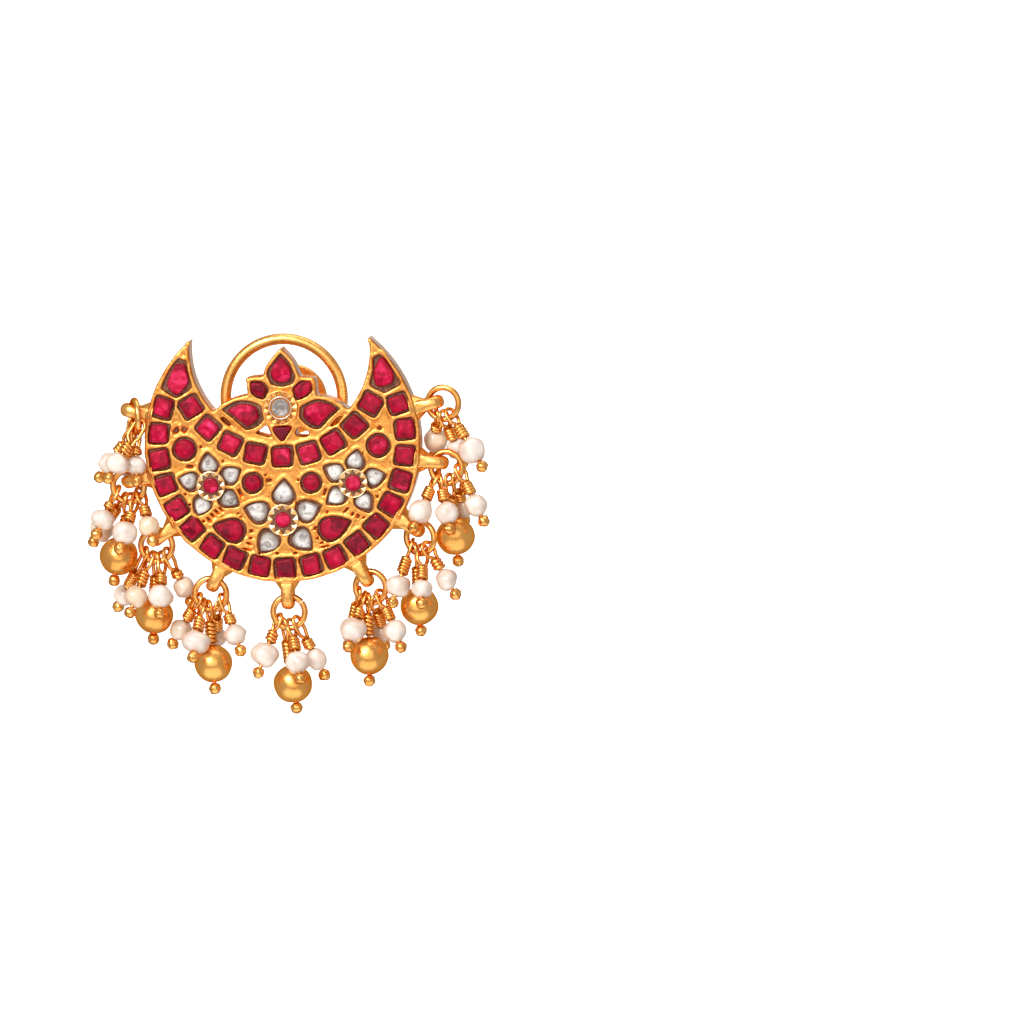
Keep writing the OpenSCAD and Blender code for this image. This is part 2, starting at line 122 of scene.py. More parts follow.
def tone_layer(bm):
    """A number on each point, which makes its stone or pearl lighter or darker."""
    return bm.verts.layers.float.get("tone") or bm.verts.layers.float.new("tone")


def add_piece(name, bm, materials, body, nodes, smooth_below=40):
    """Makes an object of a bmesh in millimetres, parents it to its CAD body and hides the CAD parts it
    stands for.
    """
    bmesh.ops.scale(bm, vec=(MM, MM, MM), verts=bm.verts)
    for edge in bm.edges:
        edge.smooth = len(edge.link_faces) != 2 or edge.calc_face_angle(0) < math.radians(smooth_below)
    for face in bm.faces:
        face.smooth = True
    mesh = to_mesh(bm, name)
    for material in materials:
        mesh.materials.append(material)
    piece = bpy.data.objects.new(name, mesh)
    bpy.context.scene.collection.objects.link(piece)
    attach(piece, body)
    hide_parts(*nodes)
    print(name, len(mesh.polygons), "faces")


def add_to_setting(name, bm, materials, smooth_below=40):
    """A piece that stands for some of the soldered metal."""
    add_piece(name, bm, materials, "setting", ["setting_plate"], smooth_below)


def to_mesh(bm, name="part"):
    mesh = bpy.data.meshes.new(name)
    bm.to_mesh(mesh)
    bm.free()
    return mesh


def pour(bm, mesh, turn=Matrix.Identity(4), tone=0.0):
    """Adds a mesh to a bmesh, turned into place."""
    layer = tone_layer(bm)
    before = len(bm.verts)
    bm.from_mesh(mesh)
    bm.verts.ensure_lookup_table()
    added = bm.verts[before:]
    bmesh.ops.transform(bm, matrix=turn, verts=added)
    for vert in added:
        vert[layer] = tone


def turned_by(degrees, axis):
    return Matrix.Rotation(math.radians(degrees), 4, axis)


def paint(bm, index):
    """Gives every face one of the piece's materials."""
    for face in bm.faces:
        face.material_index = index


def finished_mesh(holder):
    """The mesh that an object shows, with its bevel or its modifiers applied."""
    bpy.context.scene.collection.objects.link(holder)
    bpy.context.view_layer.update()
    graph = bpy.context.evaluated_depsgraph_get()
    mesh = bpy.data.meshes.new_from_object(holder.evaluated_get(graph))
    bpy.data.objects.remove(holder)
    return mesh


def add_spline(curve, points, closed):
    spline = curve.splines.new("POLY")
    spline.points.add(len(points) - 1)
    for target, point in zip(spline.points, points):
        target.co = (*point, 1)
    spline.use_cyclic_u = closed


def mesh_of_curve(curve):
    """The mesh of a curve, with its seams closed."""
    mesh = finished_mesh(bpy.data.objects.new(curve.name, curve))
    bm = bmesh.new()
    bm.from_mesh(mesh)
    bmesh.ops.remove_doubles(bm, verts=bm.verts, dist=SEAM)
    bmesh.ops.dissolve_degenerate(bm, edges=bm.edges, dist=SEAM)
    bmesh.ops.recalc_face_normals(bm, faces=bm.faces)
    bm.to_mesh(mesh)
    bm.free()
    return mesh


def wire_mesh(path, radius, closed=False, sides=3):
    """Round wire along a list of points."""
    curve = bpy.data.curves.new("wire", "CURVE")
    curve.dimensions = "3D"
    curve.bevel_depth, curve.bevel_resolution, curve.use_fill_caps = radius, sides, True
    add_spline(curve, path, closed)
    return mesh_of_curve(curve)


def skin(bm, voxel, passes):
    """One closed skin round solids that run into each other, with soft inner corners."""
    holder = bpy.data.objects.new("skin", to_mesh(bm))
    wrap = holder.modifiers.new("wrap", "REMESH")
    wrap.mode, wrap.voxel_size = "VOXEL", voxel
    soft = holder.modifiers.new("soft", "SMOOTH")
    soft.factor, soft.iterations = 0.5, passes
    return finished_mesh(holder)

# %% [markdown]
# ## Flat plates with rounded edges
# The setting is a plate full of pockets. A flat curve in Blender fills the
# space between its loops, gets a thickness from its extrusion and rounded
# edges from its bevel. That is a short way to a plate with sixty openings.
# The loops are drawn as corners first, and eased afterwards: tips by a set
# length, gentle bends by a share of their sides.

# %% Outlines and plates
TIP_TURN, EASE_SHARE = math.radians(50), 0.45
FACE_UP = turned_by(90, "X")            # flat XY to the upright face


def polar(radius, angle):
    return radius * math.cos(angle), radius * math.sin(angle)


def eased(points, tip_cut, steps=4):
    """Closed outline with each corner replaced by a short curve."""
    corners = [Vector(p) for p in points]
    outline = []
    for i, corner in enumerate(corners):
        back, ahead = corners[i - 1] - corner, corners[(i + 1) % len(corners)] - corner
        turn = math.pi - back.angle(ahead)
        cuts = [side.length * EASE_SHARE for side in (back, ahead)]
        if turn > TIP_TURN:
            cuts = [min(cut, tip_cut) for cut in cuts]
        first, last = corner + back.normalized() * cuts[0], corner + ahead.normalized() * cuts[1]
        for k in range(steps + 1):
            t = k / steps
            outline.append(first * (1 - t) ** 2 + corner * 2 * t * (1 - t) + last * t ** 2)
    return outline


def area_of(loop):
    return sum(a[0] * b[1] - b[0] * a[1] for a, b in zip(loop, loop[1:] + loop[:1])) / 2


def plate(outer, holes, front, back, rounding, inset=0.0):
    """Plate between two depths, its outline seen from the stones' side."""
    curve = bpy.data.curves.new("plate", "CURVE")
    curve.dimensions, curve.fill_mode = "2D", "BOTH"
    curve.extrude = (back - front) / 2 - rounding
    curve.bevel_depth, curve.bevel_resolution = rounding, 2
    curve.offset = -inset - rounding
    for loop, wanted in [(outer, 1)] + [(hole, -1) for hole in holes]:
        points = loop if area_of(loop) * wanted > 0 else loop[::-1]
        add_spline(curve, [(*point, 0) for point in points], True)
    mesh = mesh_of_curve(curve)
    mesh.transform(Matrix.Translation((0, (front + back) / 2, 0)) @ FACE_UP)
    return mesh

# %% [markdown]
# ## The outline of the setting
# The crescent lies between two circles. The lotus stands in the notch between
# the horns and grows together with the crescent's inner edge. The plate's
# outer loop runs round both: along the big circle from horn to horn, down the
# inner circle, over the petals and up to the first horn again.

# %% Outline of the setting
CRESCENT_R, CRESCENT_Z = 15.3, -4.05
CUTOUT_R, CUTOUT_Z = 10.0, 6.3
HORN_ANGLE, HORN_INNER_ANGLE = 139.6, 97.5      # degrees from the lowest point of each circle
LOTUS_FOOT_ANGLE = 48.5                         # where the lotus leaves the inner circle
ARC_STEP = 2.0
LOTUS_TIP, GAP_CORNER = 0.16, 0.25              # how much of a sharp corner is cut
LOTUS_EDGE = [
    (-6.6, 0.45), (-5.65, 1.0), (-4.6, 1.3), (-3.65, 1.45), (-3.7, 2.4), (-3.85, 3.3),
    (-2.95, 3.45), (-1.9, 3.5), (-1.75, 4.1), (-1.4, 4.8), (-0.85, 5.55), (0.15, 6.6), (1.2, 5.45),
    (1.65, 4.7), (1.9, 4.05), (2.2, 3.35), (3.0, 3.3), (3.85, 3.15), (3.9, 2.3), (4.0, 1.25),
    (4.95, 1.15), (6.0, 0.75), (7.0, 0.05)]
LOTUS_GAPS = [
    [(-2.9, -2.8), (-1.6, -1.85), (-1.1, -3.3)],
    [(1.5, -2.8), (2.0, -2.15), (3.15, -2.85), (2.8, -3.25), (1.7, -3.2)],
    [(-7.0, -0.75), (-6.1, -1.1), (-5.2, -2.2), (-6.2, -1.7)],
    [(7.2, -0.8), (6.2, -1.2), (5.15, -2.45), (6.3, -1.8)]]


def on_circle(radius, centre_z, angle):
    """Point on a circle, at an angle in degrees from its lowest point."""
    a = math.radians(angle)
    return Vector((radius * math.sin(a), centre_z - radius * math.cos(a)))


def arc(radius, centre_z, first, last):
    count = max(2, round(abs(last - first) / ARC_STEP))
    return [on_circle(radius, centre_z, first + (last - first) * k / count) for k in range(count + 1)]


def setting_outline():
    rim = arc(CRESCENT_R, CRESCENT_Z, HORN_ANGLE, -HORN_ANGLE)
    left = arc(CUTOUT_R, CUTOUT_Z, -HORN_INNER_ANGLE, -LOTUS_FOOT_ANGLE)
    right = arc(CUTOUT_R, CUTOUT_Z, LOTUS_FOOT_ANGLE, HORN_INNER_ANGLE)
    lotus = eased([left[-1]] + [Vector(p) for p in LOTUS_EDGE] + [right[0]], LOTUS_TIP)
    around_foot = 5             # eased points that belong to the two closing corners
    return rim[:-1] + left + lotus[around_foot:-around_foot] + right[:-1]


outline = setting_outline()
gaps = [eased(gap, GAP_CORNER) for gap in LOTUS_GAPS]
print("outline of", len(outline), "points,", round(abs(area_of(outline)), 1), "mm2")

# %% [markdown]
# ## Where the stones sit
# Each pocket is cut a little larger than its stone, and dark lac fills the
# rest, which draws a brown line round every stone. Hand-cut pockets are never
# quite alike, so seeded random numbers move each corner a little. The same
# numbers come out on every run.

# %% Places of the stones
SEED = 11
hand = random.Random(SEED)
noise.seed_set(SEED)            # noise_vector would start elsewhere on every run
SQUARE_POCKET, SQUARE_STONE = 2.4, 1.96
CORNER_WANDER, STONE_WANDER = 0.08, 0.12
OUTER_ROW_R, OUTER_PITCH, OUTER_LAST = 13.75, 12.0, 9
INNER_ROW_R, INNER_PITCH, INNER_LAST = 11.7, 14.7, 4
# Round stones: x, z, radius
ROUND_RUBIES = [(-10.8, -4.4, 1.15), (-3.35, -8.3, 0.98), (3.15, -8.35, 0.98), (10.7, -4.35, 1.15)]
# Drops: x, z, width, length, turn
DROP_RUBIES = [(-6.15, -13.4, 2.2, 3.0, 75), (5.65, -13.3, 2.2, 3.2, -70)]
# Flowers: x, z, reach to the middle of a petal, a petal's width and length
FLOWERS = [(-8.0, -8.5, 2.55, 1.9, 2.1), (-0.1, -12.4, 3.1, 2.3, 2.6), (7.8, -8.45, 2.55, 1.9, 2.1)]
PETAL_ANGLES = [(-5, 62, 128, 208, 282), (3, 70, 139, 217, 288), (8, 77, 151, 232, 300)]
FLOWER_RUBY_R, CENTRE_R = 0.918, 1.16
DROP_BELLY = 0.65               # makes a drop as wide as its width says
# Each horn: pocket, then stone, both from the tip round by the outer side
HORN_POCKETS = [
    [(-11.25, 6.0), (-12.2, 4.4), (-13.2, 2.65), (-13.2, 2.35), (-11.7, 1.35), (-11.4, 1.35), (-9.95, 2.15),
     (-9.85, 2.6), (-10.15, 4.0), (-10.4, 5.5), (-10.9, 5.5)],
    [(11.35, 6.05), (10.9, 5.5), (10.45, 5.5), (10.4, 4.05), (10.0, 2.75), (10.0, 2.25), (11.6, 1.4),
     (13.35, 2.35), (13.4, 2.7), (12.7, 3.8), (11.95, 4.85)]]
HORN_STONES = [
    [(-11.5, 5.0), (-12.3, 3.5), (-12.6, 2.8), (-12.3, 2.2), (-11.7, 1.65), (-11.3, 1.6), (-10.3, 2.6),
     (-10.1, 3.15), (-10.25, 4.15), (-10.5, 5.0)],
    [(11.35, 5.5), (10.85, 4.9), (10.4, 3.75), (10.4, 2.85), (10.7, 2.2), (11.5, 2.1), (12.35, 2.4),
     (12.7, 2.95), (12.55, 3.85), (11.8, 5.0)]]
# Lotus: middle of the stone, the stone's share of the pocket, the pocket
LOTUS_STONES = [
    (0.2, 4.05, 0.76, [(0.15, 6.1), (-1.1, 4.65), (-1.45, 3.7), (-0.95, 2.6), (0.3, 2.3), (1.35, 2.6),
                       (1.7, 3.65), (1.35, 4.9)]),
    (-2.45, 2.05, 0.84, [(-3.45, 2.25), (-3.0, 1.35), (-1.8, 0.95), (-1.3, 2.1), (-2.0, 2.95),
                         (-3.4, 2.95)]),
    (2.55, 2.05, 0.88, [(3.65, 2.95), (2.35, 3.0), (1.35, 2.05), (1.8, 0.75), (3.15, 1.3), (3.7, 2.3)]),
    (-3.95, -0.6, 0.76, [(-5.2, -1.15), (-3.85, -2.4), (-2.8, -2.15), (-1.95, -1.2), (-2.2, 0.2),
                         (-3.35, 0.8), (-5.0, 0.85), (-6.6, -0.05)]),
    (4.0, -0.65, 0.8, [(6.8, -0.1), (5.35, 0.8), (3.85, 0.85), (2.25, 0.15), (2.05, -1.1), (3.15, -2.25),
                       (4.3, -2.4), (5.5, -1.1)]),
    (0.05, -2.75, 0.98, [(-0.65, -2.95), (0.05, -3.75), (0.7, -2.95), (1.2, -2.1), (0.0, -2.05),
                         (-1.0, -2.2)])]
# How much lighter or darker than its place each stone of the lotus is
LOTUS_TONES = (-0.1, -0.48, -0.12, -0.12, -0.16, -0.65)


def placed(points, x, z, turn=0.0):
    """Points turned by degrees, counter-clockwise, and moved."""
    spin = Matrix.Rotation(math.radians(turn), 2)
    return [spin @ Vector(p) + Vector((x, z)) for p in points]


def square(side, wander):
    h = side / 2
    return [Vector((x + hand.uniform(-wander, wander), z + hand.uniform(-wander, wander)))
            for x, z in ((h, -h), (h, h), (-h, h), (-h, -h))]


def round_loop(radius, count=20, wander=0.0):
    return [Vector(polar(1, math.tau * k / count)) * (radius + hand.uniform(-wander, wander))
            for k in range(count)]


def drop_loop(width, length, count):
    """Drop whose point looks up."""
    return [Vector((-DROP_BELLY * width * math.sin(t) * math.sin(t / 2), length / 2 * math.cos(t)))
            for t in (math.tau * k / count for k in range(count))]


def row(radius, centre_z, pitch, last):
    return [(*on_circle(radius, centre_z, k * pitch), k * pitch) for k in range(-last, last + 1)]


def petal_place(flower, k):
    x, z, reach = flower[:3]
    a = math.radians(PETAL_ANGLES[FLOWERS.index(flower)][k])
    return x + reach * math.sin(a), z + reach * math.cos(a), -PETAL_ANGLES[FLOWERS.index(flower)][k]


outer_row = row(OUTER_ROW_R, CRESCENT_Z, OUTER_PITCH, OUTER_LAST)
inner_row = row(INNER_ROW_R, CUTOUT_Z, INNER_PITCH, INNER_LAST)
print(len(outer_row), "squares outside,", len(inner_row), "inside")

# %% Pockets
SQUARE_CORNER, POCKET_CORNER = 0.45, 0.2
POCKET_MARGIN = 0.2             # lac round a round stone
DROP_GROWTH = 1.08              # how much the drops are larger than their solids
DROP_POINTS = 20
DROP_POCKET_GROWTH, PETAL_POCKET_GROWTH = (0.42, 0.55), (0.38, 0.5)     # in width and length


def drop_pocket(width, length, growth):
    return drop_loop(width + growth[0], length + growth[1], DROP_POINTS)


pockets = [placed(eased(square(SQUARE_POCKET, CORNER_WANDER), SQUARE_CORNER), x, z, turn)
           for x, z, turn in outer_row + inner_row]
pockets += [eased(loop, POCKET_CORNER) for loop in HORN_POCKETS]
pockets += [placed(round_loop(r + POCKET_MARGIN), x, z) for x, z, r in ROUND_RUBIES]
pockets += [placed(drop_pocket(wide * DROP_GROWTH, long * DROP_GROWTH, DROP_POCKET_GROWTH), x, z, turn)
            for x, z, wide, long, turn in DROP_RUBIES]
for flower in FLOWERS:
    petal_pocket = drop_pocket(*flower[3:], PETAL_POCKET_GROWTH)
    pockets += [placed(petal_pocket, *petal_place(flower, k)) for k in range(5)]
pockets += [eased(pocket, POCKET_CORNER) for *_, pocket in LOTUS_STONES]

# Little pits between the pockets: x, z, length, width, turn
PITS = [
    (-11.7, -2.3, 0.85, 0.55, 40), (-10.8, -2.2, 0.75, 0.55, -30), (-10.3, -6.3, 0.8, 0.3, -10),
    (-9.0, -4.15, 0.3, 0.25, 0), (-6.65, -5.8, 0.25, 0.2, 0), (-1.9, -7.4, 0.25, 0.2, 90),
    (-1.55, -8.0, 0.6, 0.35, 0), (-4.8, -9.3, 1.1, 0.22, -62), (-5.1, -11.6, 0.25, 0.18, 0),
    (-4.8, -12.05, 0.22, 0.18, 0), (-3.7, -13.6, 0.4, 0.25, 90), (-3.8, -14.4, 0.35, 0.25, 90),
    (-8.35, -12.25, 0.85, 0.2, -52), (-7.95, -11.8, 0.85, 0.2, -50), (-7.5, -11.4, 0.85, 0.2, -47),
    (-7.0, -11.1, 0.8, 0.18, -42), (-8.95, -12.4, 0.4, 0.15, -35), (-4.3, -15.6, 1.3, 0.13, -14),
    (-4.0, -15.0, 0.7, 0.12, -28), (-10.9, -9.4, 0.3, 0.2, 60), (-10.5, -10.6, 0.3, 0.16, 60),
    (-2.9, -16.05, 0.4, 0.14, -10), (4.62, -9.4, 0.9, 0.2, 68), (1.35, -10.5, 0.2, 0.18, 0),
    (4.8, -11.6, 0.22, 0.2, 0), (10.4, -10.0, 0.28, 0.22, 0), (3.5, -13.35, 0.5, 0.32, 80),
    (3.65, -14.5, 0.4, 0.2, 70), (4.15, -15.0, 0.55, 0.14, 25), (4.4, -15.45, 1.1, 0.12, 15),
    (6.9, -11.45, 0.75, 0.16, 38), (7.6, -11.9, 0.45, 0.2, 60), (8.2, -12.15, 0.5, 0.28, 60),
    (8.85, -12.3, 0.35, 0.12, 50), (10.75, -9.3, 0.22, 0.18, 0), (1.7, -8.0, 0.3, 0.2, 0),
    (8.9, -5.2, 0.25, 0.2, 0), (10.9, -2.4, 0.5, 0.35, -40), (1.1, -16.1, 0.45, 0.12, 12),
    (-0.9, -16.1, 0.45, 0.12, -12)]
print(len(pockets), "pockets and", len(PITS), "pits")

# %% [markdown]
# ## Finishes
# Cast and gilded metal is never one flat colour: its gold is thicker in some
# places and the polish varies. Deeper corners are painted darker, a painted
# brown shade. One shader group gives all gold pieces that wear and that painted
# shade, each with its own numbers. It only puts out a colour, a roughness and a
# height; the shader itself stays in the material. A second group paints the
# stones' facets light and dark, as painted light and shade.

# %% Shader groups
PATCH_RANGE, GRAIN_RANGE = (0.42, 0.68), (0.3, 0.7)      # of the noise that is used
SWIRL_RINGS, SWIRL_WANDER = 16.0, 20.0
FACET_LINE, RIM_FROM = 0.08, 0.22


def group_with(name, inputs, outputs):
    group = bpy.data.node_groups.new(name, "ShaderNodeTree")
    for side, sockets in (("INPUT", inputs), ("OUTPUT", outputs)):
        for label, kind in sockets.items():
            group.interface.new_socket(label, in_out=side, socket_type="NodeSocket" + kind)
    return group, group.nodes.new("NodeGroupInput").outputs, group.nodes.new("NodeGroupOutput")


def feed(tree, made, inputs):
    """Gives a node's inputs their values, or the sockets that feed them."""
    for key, value in inputs.items():
        if isinstance(value, bpy.types.NodeSocket):
            tree.links.new(value, made.inputs[key])
        else:
            made.inputs[key].default_value = value


def node(tree, kind, inputs=None, **settings):
    made = tree.nodes.new("ShaderNode" + kind)
    for key, value in settings.items():
        setattr(made, key, value)
    feed(tree, made, inputs or {})
    return made


def maths(tree, operation, *values):
    return node(tree, "Math", dict(enumerate(values)), operation=operation).outputs[0]


def vectors(tree, operation, first, second):
    return node(tree, "VectorMath", {0: first, 1: second}, operation=operation).outputs["Value"]


def mix_colours(tree, factor, first, second):
    return node(tree, "Mix", {0: factor, 6: first, 7: second}, data_type="RGBA").outputs[2]


def spread(tree, value, low, high, to_low=0.0, to_high=1.0):
    return node(tree, "MapRange", {0: value, 1: low, 2: high, 3: to_low, 4: to_high}).outputs[0]


def object_place(tree):
    return node(tree, "TexCoord").outputs["Object"]


def clouds(tree, place, scale, detail):
    return node(tree, "TexNoise", {"Vector": place, "Scale": scale, "Detail": detail}).outputs["Fac"]


def bumped(tree, height, distance, strength=1.0):
    bump = node(tree, "Bump", {"Height": height, "Distance": distance, "Strength": strength})
    return bump.outputs["Normal"]


def worn_gold_group():
    """Gilding that is thick in some places and thin in others, and painted shade where the Recess input
    says.
    """
    numbers = ("Patch Scale", "Patch Amount", "Grain Scale", "Smooth", "Rough", "Recess")
    tree, given, out = group_with(
        "worn_gold", {"Bright": "Color", "Deep": "Color", **dict.fromkeys(numbers, "Float")},
        {"Color": "Color", "Roughness": "Float", "Height": "Float"})
    place = object_place(tree)
    patches = clouds(tree, place, given["Patch Scale"], 3.0)
    grain = clouds(tree, place, given["Grain Scale"], 2.0)
    thin = maths(tree, "MULTIPLY", spread(tree, patches, *PATCH_RANGE), given["Patch Amount"])
    # Recess darkens the gold towards Deep: painted shade in hollows
    shade = maths(tree, "MAXIMUM", thin, given["Recess"])
    feed(tree, out, {
        "Color": mix_colours(tree, shade, given["Bright"], given["Deep"]),
        "Roughness": spread(tree, grain, *GRAIN_RANGE, given["Smooth"], given["Rough"]),
        "Height": maths(tree, "ADD", patches, grain)})
    return tree


def facet_group():
    """Flat patches of painted light and dark, as the facets inside a stone give, with painted shade along
    their edges and towards the rim.
    """
    tree, given, out = group_with(
        "stone_facets", dict.fromkeys(("Facet Scale", "Cloud Scale", "Cloud Amount", "Swirl"), "Float"),
        dict.fromkeys(("Light", "Edge", "Rim"), "Float"))
    place = object_place(tree)
    where = {"Vector": place, "Scale": given["Facet Scale"]}
    facets = node(tree, "TexVoronoi", where, distance="CHEBYCHEV").outputs["Color"]
    border = node(tree, "TexVoronoi", where, feature="DISTANCE_TO_EDGE").outputs["Distance"]
    cloud = clouds(tree, place, given["Cloud Scale"], 3.0)
    flat = node(tree, "SeparateColor", {0: facets}).outputs[0]
    mixed = node(tree, "Mix", {0: given["Cloud Amount"], 2: flat, 3: spread(tree, cloud, *GRAIN_RANGE)},
                 data_type="FLOAT").outputs[0]
    uv = node(tree, "UVMap", uv_map="UVMap").outputs["UV"]
    from_middle = vectors(tree, "DISTANCE", uv, (0.5, 0.5, 0.0))
    wander = maths(tree, "MULTIPLY", cloud, SWIRL_WANDER)
    rings = maths(tree, "SINE", maths(tree, "MULTIPLY_ADD", from_middle, SWIRL_RINGS, wander))
    feed(tree, out, {
        "Light": maths(tree, "MULTIPLY_ADD", rings, given["Swirl"], mixed),
        "Edge": spread(tree, border, 0.0, FACET_LINE, 1.0, 0.0),
        "Rim": spread(tree, from_middle, RIM_FROM, 0.5)})
    return tree


worn_gold, stone_facets = worn_gold_group(), facet_group()
print("groups:", worn_gold.name, stone_facets.name)

# %% [markdown]
# ## The golds
# The face is painted darker below the ridges, a painted shade that turns brown
# at the bottom of the pockets, and its side walls that face one way get a
# painted silvery highlight. The wire is bright and even. The beads are brushed.
# The flower collars have paler rims, and the same pale gold on one plane of each
# tooth is a painted highlight.

# %% Gold materials
SIDE_HIGHLIGHT_COLOUR, SHADE_BROWN, WHITE = (0.88, 0.86, 0.84, 1), (0.2, 0.07, 0.02, 1), (1, 1, 1, 1)
GOLD_GRAIN = 3500.0
# Millimetres below the face: painted shade begins, painted shade is full, painted brown shade is full
PAINTED_SHADE_DEPTH = (0.0, 0.25, 0.42)
# Painted silvery highlight on side walls: the way they face, the share that gets it, depth below the face,
# amount
HIGHLIGHT_FACING, HIGHLIGHT_RANGE, HIGHLIGHT_DEPTH, HIGHLIGHT_AMOUNT = (0.93, 0.0, 0.37), (0.35, 0.75), (0.45, 0.7), 0.7


def new_material(name):
    material = bpy.data.materials.new(name)
    material.use_nodes = True
    return material, material.node_tree, material.node_tree.nodes["Principled BSDF"]


def below_face(*depths):
    return [(FACE_Y + depth) * MM for depth in depths]


def gold(name, bright, deep, smooth, rough, patch_scale=700.0, patch_amount=0.6, relief=0.00002,
         edge=(1.0, 0.5, 0.2), is_face=False):
    """Gilded metal; the face also has painted shade in its depths and a painted silvery highlight on side
    walls that face one way.
    """
    material, tree, shader = new_material(name)
    wear = node(tree, "Group", {
        "Bright": (*bright, 1), "Deep": (*deep, 1), "Patch Scale": patch_scale, "Patch Amount": patch_amount,
        "Grain Scale": GOLD_GRAIN, "Smooth": smooth, "Rough": rough, "Recess": 0.0}, node_tree=worn_gold)
    colour, tint = wear.outputs["Color"], (*edge, 1)
    if is_face:
        depth = node(tree, "SeparateXYZ", {0: object_place(tree)}).outputs["Y"]
        # Painted shade: the face darkens with depth below the ridges and turns brown deepest down
        shade_from, full, shade_darkest = below_face(*PAINTED_SHADE_DEPTH)
        feed(tree, wear, {"Recess": spread(tree, depth, shade_from, full)})
        colour = mix_colours(tree, spread(tree, depth, full, shade_darkest), colour, SHADE_BROWN)
        # Painted highlight: side walls facing one way, below the face, turn silvery with a white tint
        normal = node(tree, "NewGeometry").outputs["True Normal"]
        sideways = maths(tree, "ABSOLUTE", vectors(tree, "DOT_PRODUCT", normal, HIGHLIGHT_FACING))
        worn = spread(tree, sideways, *HIGHLIGHT_RANGE, 0.0, HIGHLIGHT_AMOUNT)
        worn = maths(tree, "MULTIPLY", worn, spread(tree, depth, *below_face(*HIGHLIGHT_DEPTH)))
        colour, tint = mix_colours(tree, worn, colour, SIDE_HIGHLIGHT_COLOUR), mix_colours(tree, worn, tint, WHITE)
    feed(tree, shader, {
        "Base Color": colour, "Specular Tint": tint, "Roughness": wear.outputs["Roughness"],
        "Normal": bumped(tree, wear.outputs["Height"], relief), "Metallic": 1.0})
    return material


face_gold = gold("face_gold", (1.0, 0.51, 0.135), (0.74, 0.2, 0.022), 0.25, 0.46, patch_scale=900.0,
                 patch_amount=0.75, relief=0.000035, is_face=True)
plain_gold = gold("plain_gold", (1.0, 0.53, 0.16), (0.85, 0.33, 0.05), 0.24, 0.36, patch_amount=0.35,
                  edge=(0.85, 0.4, 0.12))
wire_gold = gold("wire_gold", (1.0, 0.52, 0.15), (0.7, 0.22, 0.03), 0.14, 0.28, patch_amount=0.5,
                 relief=0.00001, edge=(0.7, 0.28, 0.06))
bead_gold = gold("bead_gold", (1.0, 0.515, 0.14), (0.8, 0.27, 0.04), 0.24, 0.36, patch_scale=380.0,
                 patch_amount=0.35, relief=0.00001, edge=(0.85, 0.4, 0.12))
painted_shade_gold = gold("painted_shade_gold", (0.5, 0.18, 0.03), (0.34, 0.1, 0.015), 0.4, 0.5)
collar_gold = gold("collar_gold", (1.0, 0.54, 0.19), (0.72, 0.27, 0.045), 0.3, 0.42, patch_scale=1100.0,
                   patch_amount=0.9, edge=(1, 0.9, 0.7))
pale_and_highlight_gold = gold("pale_and_highlight_gold", (0.95, 0.75, 0.48), (0.95, 0.55, 0.22), 0.3, 0.42, patch_scale=1100.0,
                patch_amount=0.8, edge=(1, 0.95, 0.85))
silver = gold("silver_bezel", (0.86, 0.82, 0.78), (0.45, 0.4, 0.36), 0.15, 0.35)
print("metals:", [m.name for m in bpy.data.materials])

# %% [markdown]
# ## Ruby, polki, lac and pearl
# The red stones are closed at the back, so their light comes from facets that
# mirror each other. A cell pattern paints that light as flat patches of pink,
# crimson and wine, with painted shade towards each stone's edge, and a clear
# coat gives the polish. Polki stones are painted grey at the rim, as painted
# shade, and white in the middle, a painted glow where the foil shows through.
# Lac is a dull brown resin. A pearl is creamy and is painted darker and warmer
# towards its edge, a painted shade, under a soft gloss.

# %% Stone, lac and pearl materials
STONE_CLOUDS, LAC_GRAIN, PEARL_CLOUDS = 1500.0, 4000.0, 600.0


def stone(name, dark, middle, light, rim, facet_scale, cloud_amount, edge_shade, swirl=0.0):
    material, tree, shader = new_material(name)
    facets = node(tree, "Group", {
        "Facet Scale": facet_scale, "Cloud Scale": STONE_CLOUDS, "Cloud Amount": cloud_amount,
        "Swirl": swirl}, node_tree=stone_facets).outputs
    tone = node(tree, "Attribute", attribute_name="tone").outputs["Fac"]
    # Painted light and shade: the facets' patches, plus each stone's tone
    ramp = node(tree, "ValToRGB", {0: maths(tree, "ADD", facets["Light"], tone)})
    ramp.color_ramp.elements[0].color = (*dark, 1)
    ramp.color_ramp.elements[1].color = (*light, 1)
    ramp.color_ramp.elements.new(0.55).color = (*middle, 1)
    # Painted shade: darker towards the stone's edge
    rimmed = mix_colours(tree, facets["Rim"], ramp.outputs["Color"], (*rim, 1))
    line = maths(tree, "MULTIPLY", facets["Edge"], edge_shade)
    feed(tree, shader, {
        "Base Color": mix_colours(tree, line, rimmed, (*dark, 1)), "Roughness": 0.12, "IOR": 1.5,
        "Normal": bumped(tree, facets["Light"], 0.00003, 0.6), "Specular IOR Level": 0.14,
        "Coat Weight": 0.1, "Coat Roughness": 0.04})
    return material


def lac_material():
    material, tree, shader = new_material("lac")
    grain = clouds(tree, object_place(tree), LAC_GRAIN, 3.0)
    colour = mix_colours(tree, spread(tree, grain, 0.35, 0.7), (0.1, 0.036, 0.018, 1), (0.29, 0.13, 0.07, 1))
    feed(tree, shader, {
        "Base Color": colour, "Roughness": spread(tree, grain, *GRAIN_RANGE, 0.35, 0.6),
        "Normal": bumped(tree, grain, 0.00004), "Specular IOR Level": 0.25})
    return material


